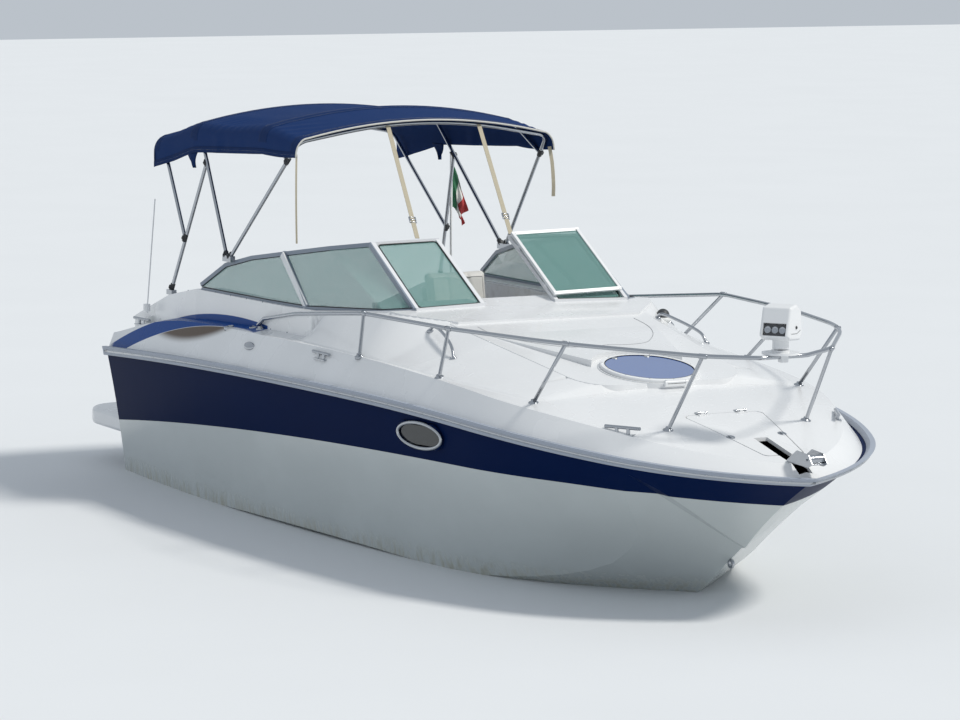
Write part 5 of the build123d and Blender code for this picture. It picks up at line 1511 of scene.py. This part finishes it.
# Caps screwed flush in the deck, and the vent on its stem with the height where its dome starts
CAPS = [(-1.60, -1.165), (-1.37, -1.09), (0.35, 1.02)]
VENT = (0.461, 0.90)
VENT_TOP = 1.40
# Grab loop beside the pad: x, y and height over the deck
GRAB_LOOP = [
    (0.56, 0.80, 0.0), (0.60, 0.80, 0.045), (0.70, 0.81, 0.06),
    (0.88, 0.845, 0.06), (0.98, 0.87, 0.045), (1.02, 0.88, 0.0),
]
# Line of the cover's snap studs along the coaming
SNAP_LINE = [(-0.9, 1.075), (-1.9, 1.085), (-2.6, 1.06), (-3.2, 0.99)]

# Fairing of the foredeck beside the pad: its reach along the boat, its outer half width, and its
# inner one forward of the pad
FAIR_FROM, FAIR_TO = -0.62, 2.62
FAIR_WIDTH = 1.16
FAIR_INNER = 0.30
# The pad: half width at midships, how much less per metre forward, and where its sides end
PAD_HALF, PAD_TAPER, PAD_CORNER_X = 0.746, 0.099, 1.84


def fair_width(x):
    """Half width of the deck's shoulder, where the fairing dies out."""
    return FAIR_WIDTH - 0.062 * max(0.0, x - 0.2) ** 2


def fair_start(x):
    """Inner edge of the fairing: the pad's edge, and clear of the windshield's foot and the hatch."""
    if x > PAD_CORNER_X:
        return FAIR_INNER
    if x > WING_RIBS[0][0][0]:
        return PAD_HALF - PAD_TAPER * x - 0.02
    for (fore, _), (aft, _) in zip(WING_RIBS, WING_RIBS[1:]):
        if x >= aft[0]:
            return fore[1] + (aft[1] - fore[1]) * (x - fore[0]) / (aft[0] - fore[0]) + 0.03
    return FAIR_WIDTH


def upper_line(points):
    """Points of the taut line over a cross-section, from the middle outward."""
    line = []
    for y, z in points:
        while len(line) > 1:
            (ya, za), (yb, zb) = line[-2:]
            if (zb - za) * (y - ya) > (z - za) * (yb - ya):
                break
            line.pop()
        line.append((y, z))
    return line


def height_on(line, y):
    for (ya, za), (yb, zb) in zip(line, line[1:]):
        if ya <= y <= yb:
            return za + (zb - za) * (y - ya) / (yb - ya)
    return line[-1][1]


class BOAT_OT_foredeck(Operator):
    """Taut deck skin that runs from the pad's edge to the shoulder"""

    bl_idname = "boat.foredeck"
    bl_label = "Foredeck"

    def execute(self, context):
        deck = surface_of("deck")
        mesh = bmesh.new()
        steps, columns = 90, 60
        for side in SIDES:
            rows = []
            for i in range(steps + 1):
                x = FAIR_FROM + (FAIR_TO - FAIR_FROM) * i / steps
                reach = fair_width(x)
                start = fair_start(x)
                ys = [start + (reach - start) * k / columns for k in range(columns + 1)]
                below = [(y, drop_on(deck, x, y * side)[0].z) for y in ys]
                line = upper_line(below)
                ends = min(1.0, (x - FAIR_FROM) / 0.25, (FAIR_TO - x) / 0.3)
                fade = ends * ends * (3 - 2 * ends)
                row = []
                for y, z in below:
                    gap = height_on(line, y) - z
                    row.append(Vector((x, y * side, z + gap * fade - (0.004 if gap * fade < 0.006 else 0.0))))
                rows.append(row)
            verts = [[mesh.verts.new(p) for p in row] for row in rows]
            for i in range(steps):
                for k in range(columns):
                    mesh.faces.new((verts[i][k], verts[i + 1][k], verts[i + 1][k + 1], verts[i][k + 1]))
        bmesh.ops.recalc_face_normals(mesh, faces=mesh.faces)
        piece("foredeck_skin", mesh, "deck_white")
        return {"FINISHED"}


# Oval port rim: half length and half height outside and inside
PORT_OUT = (0.252, 0.09)
PORT_IN = (0.228, 0.068)
# How far the plate's place is off the pane, the slot's half sizes, and which way a port runs
PANE_BACK = 0.004
SLOT = (0.234, 0.079)
PORT_RUN = Vector((1, 0, 0.02))


class BOAT_OT_ports(Operator):
    """Bright oval rims of the two port windows on their backing plates"""

    bl_idname = "boat.ports"
    bl_label = "Port windows"

    def execute(self, context):
        rims, plates = bmesh.new(), bmesh.new()
        for mesh in islands("port_glass"):
            mesh.normal_update()
            broad = max(mesh.faces, key=lambda face: face.calc_area())
            normal = broad.normal if broad.normal.y * broad.verts[0].co.y > 0 else -broad.normal
            turn = facing(Vector(), normal, PORT_RUN)
            mesh.transform(turn.inverted())
            low, high = extent(mesh)
            mesh.free()
            middle = (low + high) / 2
            place = turn @ Matrix.Translation((middle.x, middle.y, high.z + PANE_BACK))
            self.ring(rims, place)
            self.plate(plates, place)
        backs = piece("port_backs", plates, "hull_navy")
        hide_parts("port_rims")
        piece("port_rings", rims, "stainless")
        return {"FINISHED"}

    def ring(self, mesh, place):
        """Oval rim with a rounded front."""
        rings = []
        outside = [(PORT_OUT, 0.0, -0.002), (PORT_OUT, 0.0, 0.006), (PORT_OUT, -0.005, 0.012)]
        inside = [(PORT_IN, 0.006, 0.012), (PORT_IN, 0.0, 0.006), (PORT_IN, 0.0, -0.010)]
        for (wide, tall), grow, height in outside + inside:
            x, y = wide + grow, tall + grow
            spots = [place @ Vector((x * cos(t), y * sin(t), height)) for t in turns(72)]
            rings.append([mesh.verts.new(spot) for spot in spots])
        close_rings(mesh, rings)

    def plate(self, mesh, place):
        """Plate as long as the slot in the hull, with the oval cut through it."""
        wide, tall = SLOT
        straight = wide - tall
        oval = [(PORT_IN[0] * cos(t), PORT_IN[1] * sin(t)) for t in turns(72)]
        slot = [((straight if cos(t) > 0 else -straight) + tall * cos(t), tall * sin(t)) for t in turns(72)]
        rings = []
        for line, height in ((oval, -0.02), (oval, 0.0045), (slot, 0.0045), (slot, -0.02)):
            rings.append([mesh.verts.new(place @ Vector((x, y, height))) for x, y in line])
        close_rings(mesh, rings)


class BOAT_OT_deck_fittings(Operator):
    """Vent, caps, grab loops, latches, painted shadow lines of the moulded seams, and snap studs of the deck
    """

    bl_idname = "boat.deck_fittings"
    bl_label = "Deck fittings"

    def execute(self, context):
        deck = surface_of("deck", "foredeck_skin")
        lid = surface_of("locker_lid")
        self.caps(deck)
        self.loops(deck)
        self.latches(lid)
        self.seams(deck)
        self.snaps(context.scene.boat_fittings, deck)
        return {"FINISHED"}

    def caps(self, deck):
        dark, white, metal = bmesh.new(), bmesh.new(), bmesh.new()
        port = facing(drop_on(deck, *VENT)[0], Vector((0, 0, 1)))
        stem = VENT_TOP - port.translation.z
        profile = [(0.05, -0.02), (0.05, 0.006), (0.034, 0.014), (0.028, stem - 0.03), (0.03, stem - 0.02)]
        lathe_into(white, profile, port, 32)
        dome_into(dark, port @ Matrix.Translation((0, 0, stem - 0.028)), 0.042, 0.042, 0.012)
        aft = facing(*drop_on(deck, -3.2, -1.03))
        dome_into(white, aft, 0.05, 0.045)
        lid = [(0.034, -0.02), (0.034, 0.003), (0.031, 0.006), (0.024, 0.006), (0.023, 0.003), (0.001, 0.003)]
        for x, y in CAPS:
            place = facing(*drop_on(deck, x, y))
            lathe_into(metal, lid, place, 30)
            box_into(metal, (-0.014, -0.002, 0.003), (0.014, 0.002, 0.0065), place, 0.0008)
        button = [(0.028, -0.02), (0.028, 0.004), (0.024, 0.010), (0.014, 0.014), (0.001, 0.015)]
        for side in SIDES:
            point, normal, _, _ = deck.ray_cast(Vector((-1.15, 3.0 * side, 1.133)), Vector((0, -side, 0)))
            place = facing(point, normal if normal.y * side > 0 else -normal)
            lathe_into(metal, button, place @ Matrix.Diagonal((2.6, 1.0, 1.0, 1.0)), 36)
        piece("vent_dome", dark, "trim_dark")
        piece("white_caps", white, "white_plastic")
        piece("filler_caps", metal, "stainless")

    def loops(self, deck):
        """Grab loops beside the pad."""
        mesh = bmesh.new()
        for side in SIDES:
            line = []
            for x, y, rise in GRAB_LOOP:
                point, _ = drop_on(deck, x, y * side)
                line.append(point + Vector((0, 0, rise)))
            base_into(mesh, line[0], Vector((0, 0, 1)), 0.022, 0.004)
            base_into(mesh, line[-1], Vector((0, 0, 1)), 0.022, 0.004)
            tube_into(mesh, curved(line, 6), 0.0095, 14)
        piece("grab_loops", mesh, "stainless")

    def latches(self, lid):
        mesh = bmesh.new()
        profile = [(0.026, -0.006), (0.026, 0.002), (0.023, 0.004)]
        profile += [(0.018, 0.004), (0.017, 0.001), (0.001, 0.001)]
        for y in (-0.17, 0.17):
            place = facing(*drop_on(lid, 3.02, y))
            lathe_into(mesh, profile, place, 28)
            box_into(mesh, (-0.015, -0.004, 0.001), (0.015, 0.004, 0.0045), place, 0.001)
        piece("locker_latches", mesh, "stainless", "locker_lid")

    def seams(self, deck):
        """Shadow lines of the moulded panel round the hatch and pad."""
        mesh = bmesh.new()
        line = curved([(x, y, 0) for x, y in PANEL_SEAM], 6)
        for side in (1, -1):
            path = lay(deck, [(p.x, p.y * side) for p in line], 0.0)
            tube_into(mesh, path, 0.0022, 6)
        piece("pad_seams", mesh, "seam_grey")

    def snaps(self, sizes, deck):
        """Snap studs for the cockpit cover along the coaming."""
        paths = []
        for side in SIDES:
            paths.append((lay(deck, [(x, y * side) for x, y in SNAP_LINE], 0.001, 0.05), False))
        tree = row_tree("snap_row", "stud", "stainless")
        row_sizes = {"Spacing": sizes.snap_pitch, "Width": 0.013, "Height": 0.008, "Length": 0.013}
        row_along("cover_snaps", paths, tree, row_sizes)


# Ensign: foot and top of the staff on the quarter, the flag's hoist and how high it starts
STAFF = ((-2.68, 1.03, 1.33), (-2.68, 1.03, 2.21))
HOIST = 0.30
FLAG_TOP = 2.14


class BOAT_OT_ensign(Operator):
    """Staff on the port quarter with a flag that hangs in folds"""

    bl_idname = "boat.ensign"
    bl_label = "Ensign"

    def execute(self, context):
        deck = surface_of("deck")
        point, normal = drop_on(deck, STAFF[0][0], STAFF[0][1])
        top_x, top_y, _ = STAFF[1]
        top = Vector(STAFF[1])
        staff = bmesh.new()
        tube_into(staff, [point - Vector((0, 0, 0.01)), top], 0.008, 14)
        knob = [(0.005, 0.0), (0.012, 0.006), (0.012, 0.014), (0.001, 0.02)]
        lathe_into(staff, knob, Matrix.Translation(top), 16)
        base_into(staff, point, normal, 0.026, 0.005)
        piece("ensign_staff", staff, "white_plastic")
        mesh = bmesh.new()
        layer = mesh.loops.layers.uv.new("cloth")
        rows, columns = 40, 60
        grid = []
        for i in range(rows + 1):
            u = i / rows
            row = []
            for k in range(columns + 1):
                v = k / columns
                fold = sin(2 * pi * (1.6 * u + 0.9 * v) + 0.6) * 0.5 + sin(2 * pi * (3.1 * u - 1.2 * v)) * 0.3
                out = 0.010 + 0.085 * v ** 0.8 * (1 - 0.35 * u) + 0.02 * v * sin(2 * pi * 1.4 * u)
                z = FLAG_TOP - HOIST * u * (1 - 0.55 * v) - 0.30 * v ** 1.15
                x = top_x + out * 0.35 + fold * 0.05 * v
                row.append(mesh.verts.new((x, top_y + out - fold * 0.014 * v, z)))
            grid.append(row)
        for i in range(rows):
            for k in range(columns):
                face = mesh.faces.new((grid[i][k], grid[i + 1][k], grid[i + 1][k + 1], grid[i][k + 1]))
                for loop, (a, b) in zip(face.loops, ((i, k), (i + 1, k), (i + 1, k + 1), (i, k + 1))):
                    loop[layer].uv = (b / columns * FLAG_FLY, a / rows * HOIST)
        area = sum(face.calc_area() for face in mesh.faces)
        flag = piece("ensign", mesh, "flag_cloth")
        thick = flag.modifiers.new("thickness", "SOLIDIFY")
        thick.thickness = 0.0006
        area / HOIST
        return {"FINISHED"}


class BOAT_OT_helm(Operator):
    """Dials and throttle of the helm"""

    bl_idname = "boat.helm"
    bl_label = "Helm"

    def execute(self, context):
        dash = surface_of("dash")
        dials, marks, lever = bmesh.new(), bmesh.new(), bmesh.new()
        for y, r in ((0.42, 0.03), (0.51, 0.042), (0.62, 0.042), (0.71, 0.03)):
            found = dash.ray_cast(Vector((-0.9, y, 1.21)), Vector((1, 0, 0)))
            if found[0] is None:
                continue
            place = facing(found[0], found[1] if found[1].x < 0 else -found[1], Vector((0, 0, 1)))
            profile = [(r, -0.01), (r, 0.006), (r * 0.9, 0.009), (r * 0.88, 0.004), (0.001, 0.004)]
            lathe_into(dials, profile, place, 30)
            for turn in range(-120, 121, 24):
                t = radians(turn)
                spot = place @ Matrix.Rotation(-t, 4, "Z") @ Matrix.Translation((r * 0.72, 0, 0.0045))
                box_into(marks, (-r * 0.09, -0.0008, 0), (r * 0.09, 0.0008, 0.0006), spot)
            needle = place @ Matrix.Rotation(0.9, 4, "Z")
            box_into(marks, (0, -0.001, 0.005), (r * 0.62, 0.001, 0.006), needle)
        found = dash.ray_cast(Vector((-0.30, 0.84, 1.8)), Vector((0, 0, -1)))
        if found[0] is not None:
            top = found[0]
            box_into(lever, (-0.05, -0.035, -0.01), (0.05, 0.035, 0.03), Matrix.Translation(top), 0.01)
            bends = [top + Vector(p) for p in ((0, 0, 0.02), (0.01, 0, 0.08), (-0.02, 0, 0.14))]
            tube_into(lever, curved(bends, 5), 0.008, 12)
            knob = [(0.006, -0.02), (0.016, -0.012), (0.018, 0.0), (0.014, 0.014), (0.001, 0.02)]
            lathe_into(lever, knob, Matrix.Translation(bends[-1]), 18)
        piece("dash_dials", dials, "trim_dark")
        piece("dial_marks", marks, "white_plastic")
        if lever.verts:
            piece("throttle", lever, "trim_dark")
        return {"FINISHED"}


# Light: colour and strength of the sky, then strength, spread, colour and tilt of the sun
SKY, SKY_STRENGTH = (0.80, 0.87, 0.95, 1), 0.62
SUN_STRENGTH, SUN_SPREAD, SUN_COLOUR = 2.3, 9, (1.0, 0.965, 0.9)
SUN_TILT = (-26, 30, 0)


class BOAT_OT_stage(Operator):
    """Floor, light and the camera at the photograph's angle"""

    bl_idname = "boat.stage"
    bl_label = "Stage"

    def execute(self, context):
        sizes = context.scene.boat_stage
        self.camera(context, sizes)
        self.floor(sizes)
        self.light(context)
        return {"FINISHED"}

    def camera(self, context, sizes):
        a, e, r = radians(sizes.azimuth), radians(sizes.elevation), radians(sizes.roll)
        back = Vector((sin(a) * cos(e), -cos(a) * cos(e), sin(e)))
        right = (-back).cross(Vector((0, 0, 1))).normalized()
        up = right.cross(-back)
        turned_right = right * cos(r) + up * sin(r)
        turned_up = up * cos(r) - right * sin(r)
        data = bpy.data.cameras.new("view")
        data.lens = sizes.lens
        data.sensor_width = 36.0
        data.clip_end = 400.0
        camera = bpy.data.objects.new("view", data)
        context.scene.collection.objects.link(camera)
        turn = Matrix((turned_right, turned_up, back)).transposed().to_4x4()
        camera.matrix_world = Matrix.Translation(AIM + back * sizes.distance) @ turn
        context.scene.camera = camera

    def floor(self, sizes):
        f = Finish("stage_floor")
        grain = f.noise(f.place(), 0.6, 2.0)
        tone = f.blend(grain, (0.72, 0.74, 0.76, 1), (0.75, 0.77, 0.79, 1))
        f.surface(Base_Color=tone, Roughness=0.85)
        mesh = bmesh.new()
        bmesh.ops.create_grid(mesh, x_segments=1, y_segments=1, size=sizes.floor_size / 2)
        data = bpy.data.meshes.new("floor")
        mesh.to_mesh(data)
        mesh.free()
        data.materials.append(finishes["stage_floor"])
        floor = bpy.data.objects.new("floor", data)
        bpy.context.scene.collection.objects.link(floor)

    def light(self, context):
        scene = context.scene
        scene.view_settings.view_transform = "Standard"
        world = bpy.data.worlds.new("sky")
        scene.world = world
        world.use_nodes = True
        tree = world.node_tree
        tree.nodes.clear()
        shade = tree.nodes.new("ShaderNodeBackground")
        shade.inputs["Color"].default_value = SKY
        shade.inputs["Strength"].default_value = SKY_STRENGTH
        end = tree.nodes.new("ShaderNodeOutputWorld")
        tree.links.new(shade.outputs[0], end.inputs["Surface"])
        sun = bpy.data.lights.new("key", "SUN")
        sun.energy = SUN_STRENGTH
        sun.angle = radians(SUN_SPREAD)
        sun.color = SUN_COLOUR
        key = bpy.data.objects.new("key", sun)
        key.rotation_euler = [radians(angle) for angle in SUN_TILT]
        scene.collection.objects.link(key)


class BOAT_OT_finishes(Operator):
    """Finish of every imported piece"""

    bl_idname = "boat.finishes"
    bl_label = "Finishes"

    def execute(self, context):
        make_finishes(context.scene.boat_paint)
        for entry in frame["record"]["subparts"]:
            node = frame["nodes"][entry["node"]]
            node.data.materials.clear()
            node.data.materials.append(finishes[entry["material_slot"]])
        return {"FINISHED"}


CLASSES = [
    BoatPaint,
    BoatCanvas,
    BoatFittings,
    BoatStage,
    BOAT_OT_finishes,
    BOAT_OT_canopy,
    BOAT_OT_straps,
    BOAT_OT_cushions,
    BOAT_OT_glazing,
    BOAT_OT_rub_strip,
    BOAT_OT_rail_fittings,
    BOAT_OT_hatch,
    BOAT_OT_spotlight,
    BOAT_OT_deck_fittings,
    BOAT_OT_ports,
    BOAT_OT_foredeck,
    BOAT_OT_ensign,
    BOAT_OT_helm,
    BOAT_OT_stage,
]
STEPS = [
    "finishes", "foredeck", "canopy", "straps", "cushions", "glazing", "rub_strip", "rail_fittings",
    "hatch", "spotlight", "deck_fittings", "ports", "ensign", "helm", "stage",
]


class BOAT_PT_panel(Panel):
    """Lists the boat's steps and sizes"""

    bl_idname = "BOAT_PT_panel"
    bl_label = "Boat"
    bl_space_type = "VIEW_3D"
    bl_region_type = "UI"
    bl_category = "Boat"

    def draw(self, context):
        for step in STEPS:
            self.layout.operator(f"boat.{step}")
        scene = context.scene
        for group in (scene.boat_paint, scene.boat_canvas, scene.boat_fittings, scene.boat_stage):
            for name in group.__annotations__:
                self.layout.prop(group, name)


CLASSES.append(BOAT_PT_panel)


def register():
    for kind in CLASSES:
        bpy.utils.register_class(kind)
    bpy.types.Scene.boat_paint = PointerProperty(type=BoatPaint)
    bpy.types.Scene.boat_canvas = PointerProperty(type=BoatCanvas)
    bpy.types.Scene.boat_fittings = PointerProperty(type=BoatFittings)
    bpy.types.Scene.boat_stage = PointerProperty(type=BoatStage)


def unregister():
    for name in ("boat_paint", "boat_canvas", "boat_fittings", "boat_stage"):
        delattr(bpy.types.Scene, name)
    for kind in reversed(CLASSES):
        bpy.utils.unregister_class(kind)


def main():
    register()
    for step in STEPS:
        getattr(bpy.ops.boat, step)()


if __name__ == "__main__":
    main()
